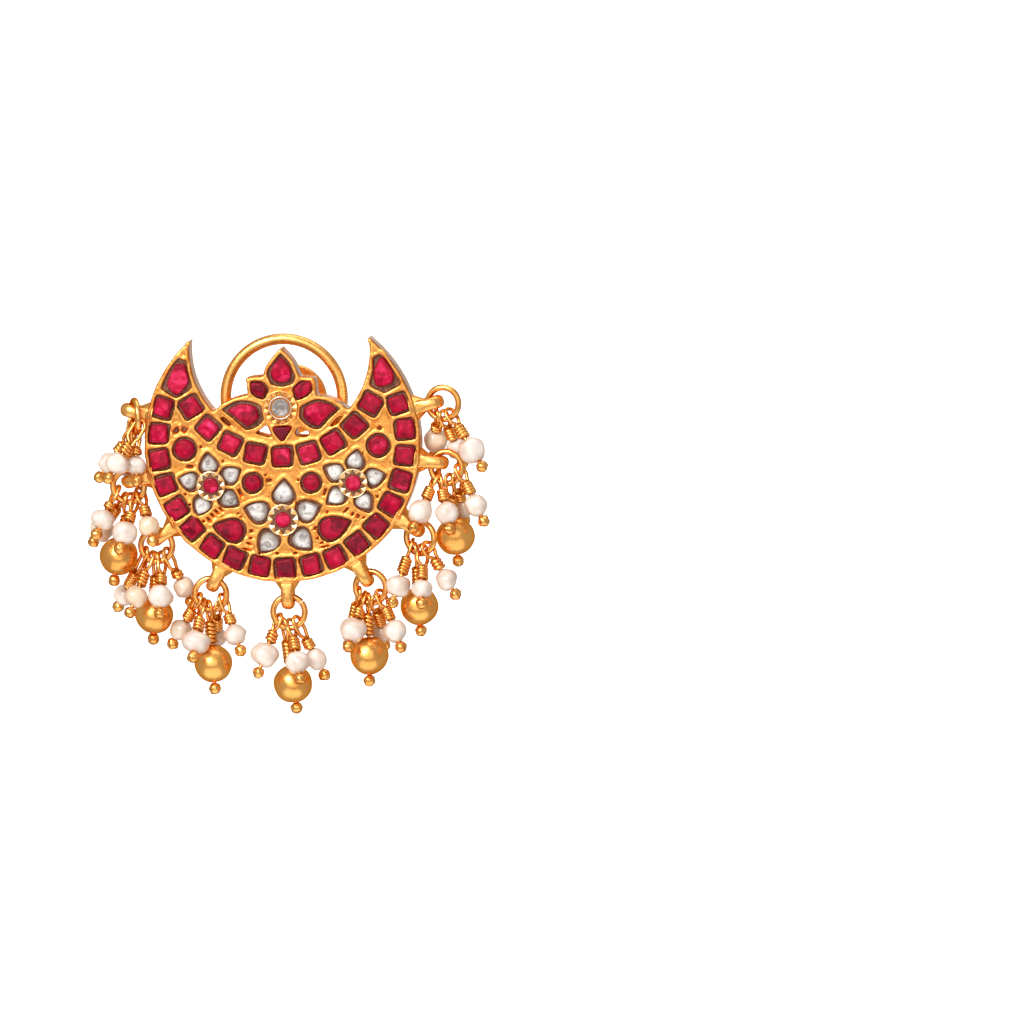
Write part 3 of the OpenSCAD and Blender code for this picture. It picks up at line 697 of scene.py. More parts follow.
def pearl_material():
    material, tree, shader = new_material("pearl")
    cloud = clouds(tree, object_place(tree), PEARL_CLOUDS, 2.0)
    tone = node(tree, "Attribute", attribute_name="tone").outputs["Fac"]
    facing = node(tree, "LayerWeight", {"Blend": 0.35}).outputs["Facing"]
    white = mix_colours(tree, spread(tree, cloud, 0.4, 0.65), (0.86, 0.775, 0.71, 1), (0.72, 0.6, 0.52, 1))
    creamy = mix_colours(tree, tone, white, (0.86, 0.64, 0.42, 1))
    # Painted shade: darker and warmer towards the pearl's outline
    painted_edge_shade = spread(tree, facing, 0.2, 0.9, 0.0, 0.8)
    feed(tree, shader, {
        "Base Color": mix_colours(tree, painted_edge_shade, creamy, (0.74, 0.38, 0.2, 1)),
        "Normal": bumped(tree, cloud, 0.00008), "Roughness": 0.4,
        "Coat Weight": 1.0, "Coat Roughness": 0.17, "Coat IOR": 1.7})
    return material


ruby = stone("ruby", (0.14, 0.001, 0.012), (0.5, 0.002, 0.036), (0.96, 0.05, 0.19), (0.28, 0.001, 0.018),
             facet_scale=520.0, cloud_amount=0.5, edge_shade=0.1)
polki = stone("polki", (0.22, 0.19, 0.17), (0.7, 0.67, 0.65), (0.98, 0.97, 0.96), (0.27, 0.235, 0.215),
              facet_scale=1000.0, cloud_amount=0.35, edge_shade=0.35, swirl=0.14)
lac, pearl = lac_material(), pearl_material()
print("others:", ruby.name, polki.name, lac.name, pearl.name)

# %% [markdown]
# ## The plate: ridges, lac and back
# Each pocket has a raised edge, burnished down on the stone, and where two
# pockets meet their edges make one ridge. So a wire is laid round every
# pocket and along the border, all of it is wrapped in one skin, and the skin
# is smoothed. Then the face is worked by hand: noise makes it uneven, and the
# little pits are pressed in. The skin is thin, because each small face of it
# counts. The walls below, the lac and a back sheet are plain plates.

# %% Plate
BACK_SHEET, LAC_DEPTH, LAC_BACK, LAC_INSET = 0.3, 0.4, -1.0, 0.25
FIELD_DROP, FIELD_ROUNDING, RIM_R, BORDER_R = 0.12, 0.06, 0.17, 0.24
PLATE_VOXEL, PLATE_PASSES = 0.12, 4
SKIN_DEPTH = 0.85                       # how far the skin reaches below the face
LAP = 0.1                               # how far one layer reaches into the next
FACE_ZONE = 0.9                         # how deep the hand work reaches
PIT_DEPTH, PIT_LIP, PIT_LIP_REACH, PIT_SLOPE = 0.42, 0.04, 0.8, 0.06
SIDE_WANDER, FACE_WANDER, QUICK_SHARE = 0.08, 0.035, 0.7
SLOW_WAVES, QUICK_WAVES = 0.9, 2.6      # to the millimetre


def grown(loop, distance):
    """Closed loop moved outwards, each point along its normal."""
    sign = 1 if area_of(loop) > 0 else -1
    moved = []
    for i, point in enumerate(loop):
        along = Vector(loop[(i + 1) % len(loop)]) - Vector(loop[i - 1])
        moved.append(Vector(point) + Vector((along.y, -along.x)).normalized() * sign * distance)
    return moved


def raised(loop, radius, inset):
    """Wire along a loop, its top level with the face."""
    return wire_mesh([(x, FACE_Y + radius, z) for x, z in grown(loop, inset)], radius, closed=True)


def press_pit(front, tree, x, z, length, width, turn):
    """Sinks the points inside a pit, and lifts those around it a little."""
    a = math.radians(turn)
    for co, i, _ in tree.find_range((x, 0, z), length):
        dx, dz = co.x - x, co.z - z
        u = abs(dx * math.cos(a) + dz * math.sin(a)) / (length / 2)
        v = abs(dz * math.cos(a) - dx * math.sin(a)) / (width / 2 + PIT_SLOPE)
        inside = 1 - max(u, v) ** 2
        front[i].co.y += PIT_DEPTH * inside if inside > 0 else PIT_LIP * max(-PIT_LIP_REACH, inside)


def hand_work(mesh):
    """Pits, and metal that isn't quite even."""
    bm = bmesh.new()
    bm.from_mesh(mesh)
    front = [v for v in bm.verts if v.co.y < FACE_Y + FACE_ZONE]
    tree = kdtree.KDTree(len(front))
    for i, vert in enumerate(front):
        tree.insert((vert.co.x, 0, vert.co.z), i)
    tree.balance()
    for pit in PITS:
        press_pit(front, tree, *pit)
    for vert in front:
        slow, quick = noise.noise_vector(vert.co * SLOW_WAVES), noise.noise(vert.co * QUICK_WAVES)
        share = 1 - (vert.co.y - FACE_Y) / FACE_ZONE
        outwards = (slow.y + QUICK_SHARE * quick) * FACE_WANDER
        vert.co += Vector((slow.x * SIDE_WANDER, outwards, slow.z * SIDE_WANDER)) * share
    return to_mesh(bm)


def add_layer(name, mesh, material, smooth_below=40):
    """One layer of the setting as a piece of its own."""
    bm = bmesh.new()
    pour(bm, mesh)
    add_to_setting(name, bm, [material], smooth_below)


ridges = bmesh.new()
field_front, skin_back = FACE_Y + FIELD_DROP, FACE_Y + SKIN_DEPTH
pour(ridges, plate(outline, pockets + gaps, field_front, skin_back, FIELD_ROUNDING))
for loop in pockets:
    pour(ridges, raised(loop, RIM_R, RIM_R))
pour(ridges, raised(outline, BORDER_R, -BORDER_R))
add_layer("crescent_ridges", hand_work(skin(ridges, PLATE_VOXEL, PLATE_PASSES)), face_gold, 80)
# Plain layers: front, back, rounding, how far inside the outline, finish
for name, front, back, rounding, inset, finish in (
        ("plate_walls", skin_back - LAP, -BACK_SHEET, 0.02, 0.02, face_gold),
        ("back_sheet", -BACK_SHEET - LAP, 0.0, 0.12, 0.0, plain_gold),
        ("lac_bed", FACE_Y + LAC_DEPTH, LAC_BACK, 0.05, LAC_INSET, lac)):
    add_layer(name, plate(outline, gaps, front, back, rounding, inset), finish)

# %% [markdown]
# ## Collars with cut teeth
# A toothed collar holds the ruby in each flower. It is a ring whose inside is
# a star, and each tooth between two notches falls towards the stone in two
# small planes, so one flashes while the other is dark; in the flowers the plane
# that faces the upper left gets a paler gold, a painted highlight. A ring is
# spun, each tooth is a triangle with a raised middle line, and a dark bed lies
# below: lac in the flowers, and in the lotus a dark gold that is painted shade.
# The fourth collar holds the clear stone of the lotus, in a thin silver bezel.

# %% Collars
# Radius, tip of the teeth, number of teeth, and the material of the rim and of the tooth planes that face
# the upper left (in the flowers a pale gold, a painted highlight)
COLLAR_SIZES = [(1.6, 1.04, 10, 1), (1.73, 1.12, 10, 1), (1.6, 1.04, 10, 1), (1.92, 1.3, 13, 0)]
COLLAR_RIM, TOOTH_LAP, TOOTH_WIDENING = 0.1, 0.03, 1.02
# Heights above the face: the ring, then side, middle line, tip and underside of a tooth
RING_FOOT, RING_TOP = -0.3, 0.27
TOOTH_SIDE, TOOTH_RIDGE, TOOTH_TIP, TOOTH_UNDER = 0.06, 0.25, 0.16, -0.1
BED_HOLE_R, BED_MARGIN, BED_TOP = 0.4, 0.16, 0.03
BEZEL_IN, BEZEL_OUT, BEZEL_TOP, BEZEL_ROUNDING = 1.17, 1.27, 0.24, 0.03
SPIN_STEPS, SHARP = 60, 0.8             # a fold sharper than this, in radians, is rounded


def turned(section, steps):
    """Spins a closed section of (radius, height) about the Z axis."""
    bm = bmesh.new()
    verts = [bm.verts.new((r, 0, z)) for r, z in section]
    edges = [bm.edges.new((verts[i - 1], verts[i])) for i in range(len(verts))]
    bmesh.ops.spin(bm, geom=verts + edges, angle=math.tau, steps=steps, axis=(0, 0, 1), cent=(0, 0, 0),
                   use_merge=True)
    bmesh.ops.remove_doubles(bm, verts=bm.verts, dist=SEAM)
    bmesh.ops.recalc_face_normals(bm, faces=bm.faces)
    return bm


def soften(bm, edges, width, segments=2, clamp=False):
    """Bevels edges; clamp keeps the new faces from running into each other."""
    bmesh.ops.bevel(bm, geom=edges, offset=width, segments=segments, profile=0.5, affect="EDGES",
                    clamp_overlap=clamp, material=-1)


def band(inner, outer, low, high, rounding=0.05):
    """Flat ring around the Z axis."""
    bm = turned([(inner, low), (outer, low), (outer, high), (inner, high)], SPIN_STEPS)
    soften(bm, [e for e in bm.edges if len(e.link_faces) == 2 and e.calc_face_angle(0) > SHARP], rounding)
    return bm


def on_face(x, z, y=FACE_Y):
    """Stands what is drawn flat on the face of the setting."""
    return Matrix.Translation((x, y, z)) @ FACE_UP


def tooth(angle, width, foot_r, tip_r, shine):
    """Triangle with a raised middle line, closed below."""
    bm = bmesh.new()

    def at(r, turn, z):
        return bm.verts.new((*polar(r, angle + turn), z))

    left, right = at(foot_r, -width / 2, TOOTH_SIDE), at(foot_r, width / 2, TOOTH_SIDE)
    middle, tip = at(foot_r, 0, TOOTH_RIDGE), at(tip_r, 0, TOOTH_TIP)
    low = [at(r, turn, TOOTH_UNDER) for r, turn in ((foot_r, -width / 2), (foot_r, width / 2), (tip_r, 0))]
    for corners in ((left, middle, tip), (middle, right, tip), (left, low[0], low[1], right, middle),
                    (left, tip, low[2], low[0]), (right, low[1], low[2], tip), (low[0], low[2], low[1])):
        bm.faces.new(corners)
    bm.faces.ensure_lookup_table()
    # The plane facing the upper left gets the shine material: in the flowers a pale gold, a painted
    # highlight
    bm.faces[1 if math.sin(angle + math.pi / 4) > 0 else 0].material_index = shine
    bmesh.ops.recalc_face_normals(bm, faces=bm.faces)
    return bm


def collar(bm, place, outer, tip, teeth, shine):
    ring = band(outer - COLLAR_RIM, outer, RING_FOOT, RING_TOP)
    paint(ring, shine)
    pour(bm, to_mesh(ring), place)
    width, foot_r = math.tau / teeth, outer - COLLAR_RIM + TOOTH_LAP
    for k in range(teeth):
        pour(bm, to_mesh(tooth(width * k, width * TOOTH_WIDENING, foot_r, tip, shine)), place)


collars, beds = bmesh.new(), bmesh.new()
for (x, z), (outer, tip, teeth, shine) in zip([flower[:2] for flower in FLOWERS] + [(0, 0)], COLLAR_SIZES):
    collar(collars, on_face(x, z), outer, tip, teeth, shine)
    bed = band(BED_HOLE_R, outer - BED_MARGIN, RING_FOOT, BED_TOP)
    # In the lotus the bed is a dark gold, painted shade in the notches between the teeth
    paint(bed, 0 if shine else 1)       # lac in the flowers, dark gold in the lotus
    pour(beds, to_mesh(bed), on_face(x, z))
add_to_setting("toothed_collars", collars, [collar_gold, pale_and_highlight_gold], 25)
add_to_setting("collar_lac", beds, [lac, painted_shade_gold])
bezel = band(BEZEL_IN, BEZEL_OUT, RING_FOOT, BEZEL_TOP, BEZEL_ROUNDING)
bmesh.ops.transform(bezel, matrix=on_face(0, 0), verts=bezel.verts)
add_to_setting("polki_bezel", bezel, [silver])

# %% [markdown]
# ## Cutting the stones
# Each stone starts as one face with the outline of the stone. Extruding it
# makes the walls, extruding and shrinking it again makes the sloping crown,
# and a narrow bevel gives the edges that catch the light. The colourless
# stones rise in three steps to a low dome. A small tilt of the table lets
# neighbours shine at different moments, as hand-set stones do.

# %% Stones
STONE_FOOT, TABLE_RISE = 1.04, 0.2
CROWN_HEIGHT, TABLE_SHARE, FACET_EDGE, SLACK = 0.22, 0.86, 0.1, 0.01
DOME_HEIGHT = 0.4
DOME_STEPS = ((0.5, 0.88), (0.35, 0.8), (0.15, 0.7))    # share of the height, and how much it shrinks
TABLE_TILT, DROP_TABLE = 0.07, 0.88
SQUARE_EASE, LOTUS_EASE, HORN_EASE = 0.34, 0.2, 0.15
ROUND_FILL, ROUND_WANDER, FLOWER_WANDER = 0.96, 0.03, 0.04
ROUND_POINTS, FLOWER_POINTS, PETAL_POINTS, CENTRE_POINTS = 18, 14, 16, 24
POLKI_W, POLKI_LEN = 0.92, 0.9          # share of its place that a petal's stone fills
SEAT_WANDER, PETAL_WANDER, SQUARE_TURN, PETAL_TURN = 0.05, 0.13, 3, 8
# Painted light: how much lighter a red stone is for each millimetre higher
PAINTED_LIGHT_PER_MM, RED_TONE_WANDER = 0.018, 0.22
HORN_TONE, DROP_TONE, FLOWER_TONE, CENTRE_TONE, PETAL_TONES = -0.02, -0.27, 0.06, -0.4, (-0.2, 0.28)


def cut_stone(bm, points, x, z, turn, tone, table, dome):
    """Adds one stone to a bmesh, its table looking out of the face."""
    part = bmesh.new()
    uv = part.loops.layers.uv.new("UVMap")
    size = max(Vector(p).length for p in points)
    face = part.faces.new([part.verts.new((p[0], p[1], 0)) for p in points])
    height, crown = STONE_FOOT + TABLE_RISE, DOME_HEIGHT if dome else CROWN_HEIGHT
    steps = [(crown * part_of, shrink) for part_of, shrink in DOME_STEPS] if dome else [(crown, table)]
    for rise, share in [(height - crown, 1.0)] + steps:
        risen = bmesh.ops.extrude_face_region(part, geom=[face], use_keep_orig=(share == 1.0))["geom"]
        face = next(g for g in risen if isinstance(g, bmesh.types.BMFace))
        bmesh.ops.translate(part, vec=(0, 0, rise), verts=face.verts)
        bmesh.ops.scale(part, vec=(share, share, 1), verts=face.verts)
    tilts = [Matrix.Rotation(hand.uniform(-TABLE_TILT, TABLE_TILT), 3, axis) for axis in "XY"]
    bmesh.ops.rotate(part, cent=(0, 0, height), matrix=tilts[0] @ tilts[1], verts=face.verts)
    bmesh.ops.recalc_face_normals(part, faces=part.faces)
    if not dome:
        top = [e for e in part.edges if all(v.co.z > height - crown - SLACK for v in e.verts)]
        soften(part, top, FACET_EDGE, 3, clamp=True)
    for face in part.faces:
        for loop in face.loops:
            loop[uv].uv = (0.5 + loop.vert.co.x / size / 2, 0.5 + loop.vert.co.y / size / 2)
    seat = on_face(x, z, FACE_Y + STONE_FOOT) @ turned_by(turn, "Z")
    pour(bm, to_mesh(part), seat, tone)


def field(name, stones, material=ruby, table=TABLE_SHARE, dome=False):
    """One piece of one or more stones: (points, x, z, turn, tone)."""
    bm = bmesh.new()
    tone_layer(bm)
    bm.loops.layers.uv.new("UVMap")
    for one in stones:
        cut_stone(bm, *one, table, dome)
    add_piece(name + "_cut", bm, [material], "setting", [name], smooth_below=50)


def by_hand(amount):
    """A small shift that hand work leaves."""
    return hand.uniform(-amount, amount)


def red_tone(z):
    """Painted light: stones near the top are painted lighter than the lowest ones, plus a random tone."""
    return PAINTED_LIGHT_PER_MM * z + by_hand(RED_TONE_WANDER)


def square_stones(places):
    stones = []
    for x, z, turn in places:
        x, z = x + by_hand(SEAT_WANDER), z + by_hand(SEAT_WANDER)
        loop = eased(square(SQUARE_STONE, STONE_WANDER), SQUARE_EASE, steps=3)
        stones.append((loop, x, z, turn + by_hand(SQUARE_TURN), red_tone(z)))
    return stones


def petal_stone(flower, k):
    x, z, turn = petal_place(flower, k)
    loop = drop_loop(flower[3] * POLKI_W, flower[4] * POLKI_LEN, PETAL_POINTS)
    x, z = x + by_hand(PETAL_WANDER), z + by_hand(PETAL_WANDER)
    return loop, x, z, turn + by_hand(PETAL_TURN), hand.uniform(*PETAL_TONES)


def lotus_stone(x, z, share, pocket, tone):
    loop = [(Vector(p) - Vector((x, z))) * share for p in pocket]
    return eased(loop, LOTUS_EASE, steps=2), x, z, 0, red_tone(z) + tone


field("outer_row_rubies", square_stones(outer_row))
field("inner_row_rubies", square_stones(inner_row))
field("lotus_rubies", [lotus_stone(*one, tone) for one, tone in zip(LOTUS_STONES, LOTUS_TONES)])
for k, loop in enumerate(HORN_STONES):
    middle = sum((Vector(p) for p in loop), Vector((0, 0))) / len(loop)
    rounded = eased([Vector(p) - middle for p in loop], HORN_EASE, steps=2)
    field(f"horn_ruby_{k + 1}", [(rounded, *middle, 0, HORN_TONE)])
for k, (x, z, r) in enumerate(ROUND_RUBIES):
    loop = round_loop(r * ROUND_FILL, ROUND_POINTS, ROUND_WANDER)
    field(f"round_ruby_{k + 1}", [(loop, x, z, 0, red_tone(z))])
for k, (x, z, wide, long, turn) in enumerate(DROP_RUBIES):
    loop = drop_loop(wide * DROP_GROWTH, long * DROP_GROWTH, DROP_POINTS)
    field(f"drop_ruby_{k + 1}", [(loop, x, z, turn, DROP_TONE)], table=DROP_TABLE)
for k, flower in enumerate(FLOWERS):
    loop = round_loop(FLOWER_RUBY_R, FLOWER_POINTS, FLOWER_WANDER)
    field(f"flower_ruby_{k + 1}", [(loop, *flower[:2], 0, FLOWER_TONE)])
    field(f"flower_polki_{k + 1}", [petal_stone(flower, j) for j in range(5)], polki, dome=True)
loop = round_loop(CENTRE_R, CENTRE_POINTS)
field("lotus_centre_polki", [(loop, 0, 0, 0, CENTRE_TONE)], polki, dome=True)

# %% [markdown]
# ## Hooks
# Nine straps leave the rim and curl into an eye. Casting and filing leave no
# sharp line where they grow out of the rim, so a strap with a hole and a
# flared foot are wrapped in one skin by a voxel remesh, and smoothed. Then the
# outside of the strap is domed, as half-round wire is.

# %% Hooks
HOOK_ANGLES = [-103, -77, -54, -28, 0, 30, 56, 82, 104]
HOOK_END_R = CRESCENT_R + 3.1
EYE_HALF, STRAP_T, STRAP_HALF_W, STRAP_ROUNDING = 0.75, 0.55, 0.7, 0.2
STRAP_DOME, DOME_MIDDLE = 0.26, 0.35    # the middle of the strap rises, and its edges sink
STRAP_FOOT, EYE_FOOT = CRESCENT_R - 0.9, CRESCENT_R + 0.5
LUG_FOOT_R, LUG_TOP_R, LUG_LEN, LUG_MIDDLE, LUG_FLAT = 1.8, 0.6, 1.9, CRESCENT_R + 0.35, 0.95
DOME_FROM, DOME_RAMP = CRESCENT_R + 0.4, 0.9
HOOK_VOXEL, HOOK_PASSES = 0.09, 5
MID_Y = FACE_Y / 2


def stadium(half_width, near, far, count=8):
    """Closed loop of two half circles, from one radius of the rim to another."""
    ends = []
    for centre, first in ((far - half_width, 0), (near + half_width, math.pi)):
        half_circle = [polar(half_width, first + math.pi * k / count) for k in range(count + 1)]
        ends += [Vector((x, centre + y)) for x, y in half_circle]
    return ends


def hook_mesh():
    """Hook along +Z from the rim's circle, its eye's hole along X, at the crescent's centre."""
    half = EYE_HALF + STRAP_T
    hole = stadium(EYE_HALF, EYE_FOOT, HOOK_END_R - STRAP_T)
    strap = plate(stadium(half, STRAP_FOOT, HOOK_END_R), [hole], -STRAP_HALF_W, STRAP_HALF_W, STRAP_ROUNDING)
    bm = bmesh.new()
    pour(bm, strap, turned_by(90, "Z"))
    foot = bmesh.ops.create_cone(bm, cap_ends=True, segments=32, radius1=LUG_FOOT_R, radius2=LUG_TOP_R,
                                 depth=LUG_LEN)["verts"]
    bmesh.ops.scale(bm, vec=(1, LUG_FLAT, 1), verts=foot)
    bmesh.ops.translate(bm, vec=(0, 0, LUG_MIDDLE), verts=foot)
    mesh = skin(bm, HOOK_VOXEL, HOOK_PASSES)
    for vert in mesh.vertices:          # the strap is half-round: flat on the ring, domed outside
        above_lug = min(1, (vert.co.z - DOME_FROM) / DOME_RAMP)
        outward = vert.co - Vector((vert.co.x, 0, min(vert.co.z, HOOK_END_R - half)))
        if above_lug >= 0 and outward.length > EYE_HALF + STRAP_T / 2:
            dome = STRAP_DOME * above_lug * (DOME_MIDDLE - (vert.co.x / STRAP_HALF_W) ** 2)
            vert.co += outward.normalized() * dome
    return mesh


hook = hook_mesh()
hooks = bmesh.new()
for angle in HOOK_ANGLES:
    pour(hooks, hook, Matrix.Translation((0, MID_Y, CRESCENT_Z)) @ turned_by(180 - angle, "Y"))
add_to_setting("rim_hooks", hooks, [plain_gold], 60)

# %% [markdown]
# ## Rings, eyes and wrapped wire
# A jump ring is bent from round wire and keeps a fine cut where its ends meet.
# A head pin is one wire: from the ball it goes up through the bead, makes a
# long eye around the ring, comes back and is wrapped round itself. Such a path
# is a list of points on a helix, and a curve with a round bevel is the wire.
# The table holds what makes each bunch its own.

# %% Bunches
# Hook's ring: x, y and z from the hook's end, turn, and the place of its cut
RINGS = [
    (1.45, -1.4, -0.7, -70, 100), (0.25, 0.1, -0.45, -3, 150), (0.2, 0.0, -0.5, 0, 100),
    (-0.1, 0.0, -0.65, 0, 95), (0.05, 0.0, -0.65, 0, 38), (0.15, 0.0, -0.45, -12, 80),
    (-0.1, -0.4, -0.55, -24, 100), (0.05, 0.0, -0.5, -8, 140), (0.25, 0.0, -0.3, -10, 170)]
# Pins: place round the ring, lean right, lean back, eye, wrapped length, bead's width and height, cream
PINS = [
    [(-54, -11, 24, 2.1, 2.2, 2.3, 2.3, 0.1), (-30, -37, -4, 1.8, 1.6, 2.4, 2.4, 0.0),
     (-3, 2, -14, 1.6, 1, 2.15, 2.1, 0.0), (41, -31, -19, 1.6, 1.6, 2.6, 2.4, 0.1)],
    [(-62, -24, -26, 1.1, 1, 2.65, 2.3, 0.0), (-26, -38, 24, 0.9, 2.5, 2.7, 2.55, 0.35),
     (0, -13, 3, 1.4, 2.6, 4.25, 4.25, 0), (24, -16, -34, 1.4, 1.4, 2.9, 2.65, 0.0),
     (53, 18, -31, 1.2, 1.5, 2.4, 2.35, 0.85)],
    [(-54, -31, 30, 2.6, 2.7, 2.3, 2.3, 0.2), (-28, -20, -24, 1.3, 2, 2.6, 2.4, 0.7),
     (-5, -5, 10, 1.6, 2.4, 4.25, 4.25, 0), (18, 0, -28, 1.5, 1.4, 2.8, 2.65, 0.0),
     (46, 21, 20, 1.7, 1.2, 2.35, 2.35, 0.5)],
    [(-63, -32, 10, 0.9, 1.7, 2.4, 2.4, 0.5), (-36, -7, -36, 1.2, 2, 3.25, 2.4, 0.0),
     (-8, 3, -3, 1.2, 2.6, 4.2, 4.2, 0), (25, -11, 38, 1.3, 2, 2.3, 2.3, 0.2),
     (57, 19, -12, 1.2, 1.4, 2.5, 2.3, 0.0)],
    [(-50, -21, -14, 0.9, 1.6, 3.1, 2.7, 0.05), (-18, 5, 12, 1.5, 3, 4.25, 4.25, 0),
     (8, 12, -26, 1, 1.8, 2.7, 2.55, 0.0), (36, 24, 10, 1.6, 1.5, 2.2, 2.55, 0.15)],
    [(-56, -16, 26, 1, 2.6, 2.4, 2.4, 0.2), (-34, -16, -28, 0.9, 1.4, 3.05, 2.65, 0.0),
     (-10, -1, 0, 1.1, 2.6, 4.25, 4.25, 0), (18, 4, 37, 1.2, 2.3, 2.3, 2.3, 0.3),
     (46, 22, -14, 1, 1.7, 2.55, 2.45, 0.0)],
    [(-48, -18, -20, 1, 2.2, 2.75, 2.5, 0.15), (-20, 1, 8, 1.6, 2.4, 4.2, 4.2, 0),
     (8, 1, -30, 1.4, 1.8, 2.3, 2.05, 0.0), (38, 30, -2, 0.9, 1.6, 2.4, 2.4, 0.0)],
    [(-49, -23, -30, 1.2, 1.7, 2.7, 2.75, 0.1), (-24, 14, -30, 0.9, 1.7, 2.5, 2.5, 0.0),
     (11, 4, 4, 1.4, 2.4, 4.3, 4.2, 0), (39, 4, 36, 1.6, 1.4, 2.3, 2.3, 0.4),
     (71, 25, -11, 1, 1.7, 2.5, 2.5, 0.1)],
    [(-26, -9, 36, 0.9, 1.1, 2.7, 2.65, 0.65), (4, 18, 22, 0.9, 1.8, 2.3, 2.3, 0.1),
     (34, 32, -16, 1, 1.9, 2.95, 2.95, 0.0)]]
GOLD_FROM = 4.0                         # beads as wide as this are gold
RING_R, RING_WIRE_R, RING_SLIT, RING_STEPS = 1.76, 0.345, 0.05, 72
WIRE_R, WRAP_TOP_R, WRAP_END_R, WRAP_PITCH, WRAP_STEPS = 0.21, 0.45, 0.5, 0.48, 12
# The sleeve is a dark gold: painted shade between the turns of the wire
SLEEVE_R = 0.38                         # dark filling inside the turns
PIN_EYE_R, PIN_EYE_RISE, EYE_TWIST = 0.64, 0.36, math.radians(30)
KNEE, KNEE_FOOT, KNEE_TOP, KNEE_NARROWING = 0.45, 0.1, 0.2, 0.8     # where the eye's sides bend in
PIN_EYE_STEPS, SLEEVE_MARGIN = 10, 0.1
STEM_TOP, STEM_BEND, STEM_SHIFT, STEM_END = 0.12, 0.08, 0.2, 0.3
BALL_R, BALL_LUMPS, BALL_WAVES, BEAD_GAP = 0.66, 0.2, 3.2, 0.03
BALL_SEEDS = (7.3, 1.9)                 # what a bunch and a pin add, so that no two balls are alike


def ring_centre(i):
    """Middle of a jump ring, from the hook that carries it."""
    x, z = on_circle(HOOK_END_R - STRAP_T / 2, CRESCENT_Z, HOOK_ANGLES[i])
    return Vector((x, MID_Y, z)) + Vector(RINGS[i][:3])


def pin_place(i, pin):
    """Matrix of a pin: origin in the ring's wire, -Z down along the pin."""
    turn = math.radians(RINGS[i][3])
    around = math.radians(pin[0])
    reach = RING_R * math.sin(around)
    spot = ring_centre(i) + Vector((*polar(reach, turn), -RING_R * math.cos(around)))
    lean = turned_by(-pin[1], "Y") @ turned_by(pin[2], "X")
    twist = math.copysign(EYE_TWIST, pin[0])
    return Matrix.Translation(spot) @ lean @ Matrix.Rotation(turn - twist, 4, "Z")


def at_height(place, z):
    return place @ Matrix.Translation((0, 0, z))


def bead_middle(pin):
    return -pin[3] - pin[4] - BEAD_GAP - pin[6] / 2


def bead_foot(pin):
    return bead_middle(pin) - pin[6] / 2 - BEAD_GAP


def pin_path(pin):
    """The whole wire of one pin, from the ball to the cut end of the wrapping."""
    eye, wrap = pin[3], pin[4]
    path = [(0, 0, bead_foot(pin) - STEM_END), (0, 0, bead_foot(pin)), (0, 0, -eye - wrap / 2)]
    path += [(0, 0, -eye - STEM_TOP), (0, -STEM_SHIFT, -eye + STEM_BEND)]
    knee = min(-KNEE, -eye + KNEE)
    side = [(PIN_EYE_R * KNEE_NARROWING, knee - KNEE_FOOT), (PIN_EYE_R, knee + KNEE_TOP)]
    path += [(0, -y, z) for y, z in side]
    path += [(0, -PIN_EYE_R * math.cos(a), PIN_EYE_RISE + PIN_EYE_R * math.sin(a))
             for a in (math.pi * k / PIN_EYE_STEPS for k in range(PIN_EYE_STEPS + 1))]
    path += [(0, y, z) for y, z in side[::-1]] + [(0, WRAP_TOP_R, -eye + STEM_BEND)]
    count = max(2, round(wrap / WRAP_PITCH)) * WRAP_STEPS
    for k in range(count + 1):
        a = math.pi / 2 + math.tau * k / WRAP_STEPS
        radius = WRAP_TOP_R + (WRAP_END_R - WRAP_TOP_R) * k / count
        height = -eye - WIRE_R - (wrap - 2 * WIRE_R) * k / count
        path.append((*polar(radius, a), height))
    return path


def jump_ring(i):
    bm = bmesh.new()
    slit = RING_SLIT / RING_R
    first = math.radians(RINGS[i][4]) + slit / 2
    circle = [polar(RING_R, first + (math.tau - slit) * k / RING_STEPS) for k in range(RING_STEPS + 1)]
    path = [(x, 0, z) for x, z in circle]
    place = Matrix.Translation(ring_centre(i)) @ turned_by(RINGS[i][3], "Z")
    pour(bm, wire_mesh(path, RING_WIRE_R, sides=4), place)
    add_piece(f"jump_ring_{i + 1}_bent", bm, [wire_gold], "setting", [f"jump_ring_{i + 1}"], 60)


def lumpy(bm, amount, waves, seed):
    """Pushes the points of a round form in and out by smooth noise."""
    for vert in bm.verts:
        vert.co *= 1 + amount * noise.noise(vert.co * waves + Vector((seed, seed * 0.7, -seed)))


def seed_of(seeds, i, k):
    return seeds[0] * i + seeds[1] * k


def ball_mesh(seed):
    """Melted end of a pin: a small nugget with soft facets."""
    bm = bmesh.new()
    bmesh.ops.create_icosphere(bm, subdivisions=3, radius=BALL_R)
    lumpy(bm, BALL_LUMPS, BALL_WAVES, seed)
    return to_mesh(bm)


def sleeve_mesh(length):
    bm = bmesh.new()
    bmesh.ops.create_cone(bm, cap_ends=True, segments=16, radius1=SLEEVE_R, radius2=SLEEVE_R, depth=length)
    # Dark gold: painted shade inside the turns
    paint(bm, 1)
    return to_mesh(bm)


def head_pins(i):
    bm = bmesh.new()
    tone_layer(bm)
    for k, pin in enumerate(PINS[i]):
        place = pin_place(i, pin)
        pour(bm, wire_mesh(pin_path(pin), WIRE_R), place)
        pour(bm, sleeve_mesh(pin[4] - SLEEVE_MARGIN), at_height(place, -pin[3] - pin[4] / 2))
        pour(bm, ball_mesh(seed_of(BALL_SEEDS, i, k)), at_height(place, bead_foot(pin) - BALL_R))
    add_piece(f"head_pins_{i + 1}_wrapped", bm, [wire_gold, painted_shade_gold], "setting",
              [f"head_pins_{i + 1}"], 50)


for i in range(len(RINGS)):
    jump_ring(i)
    head_pins(i)

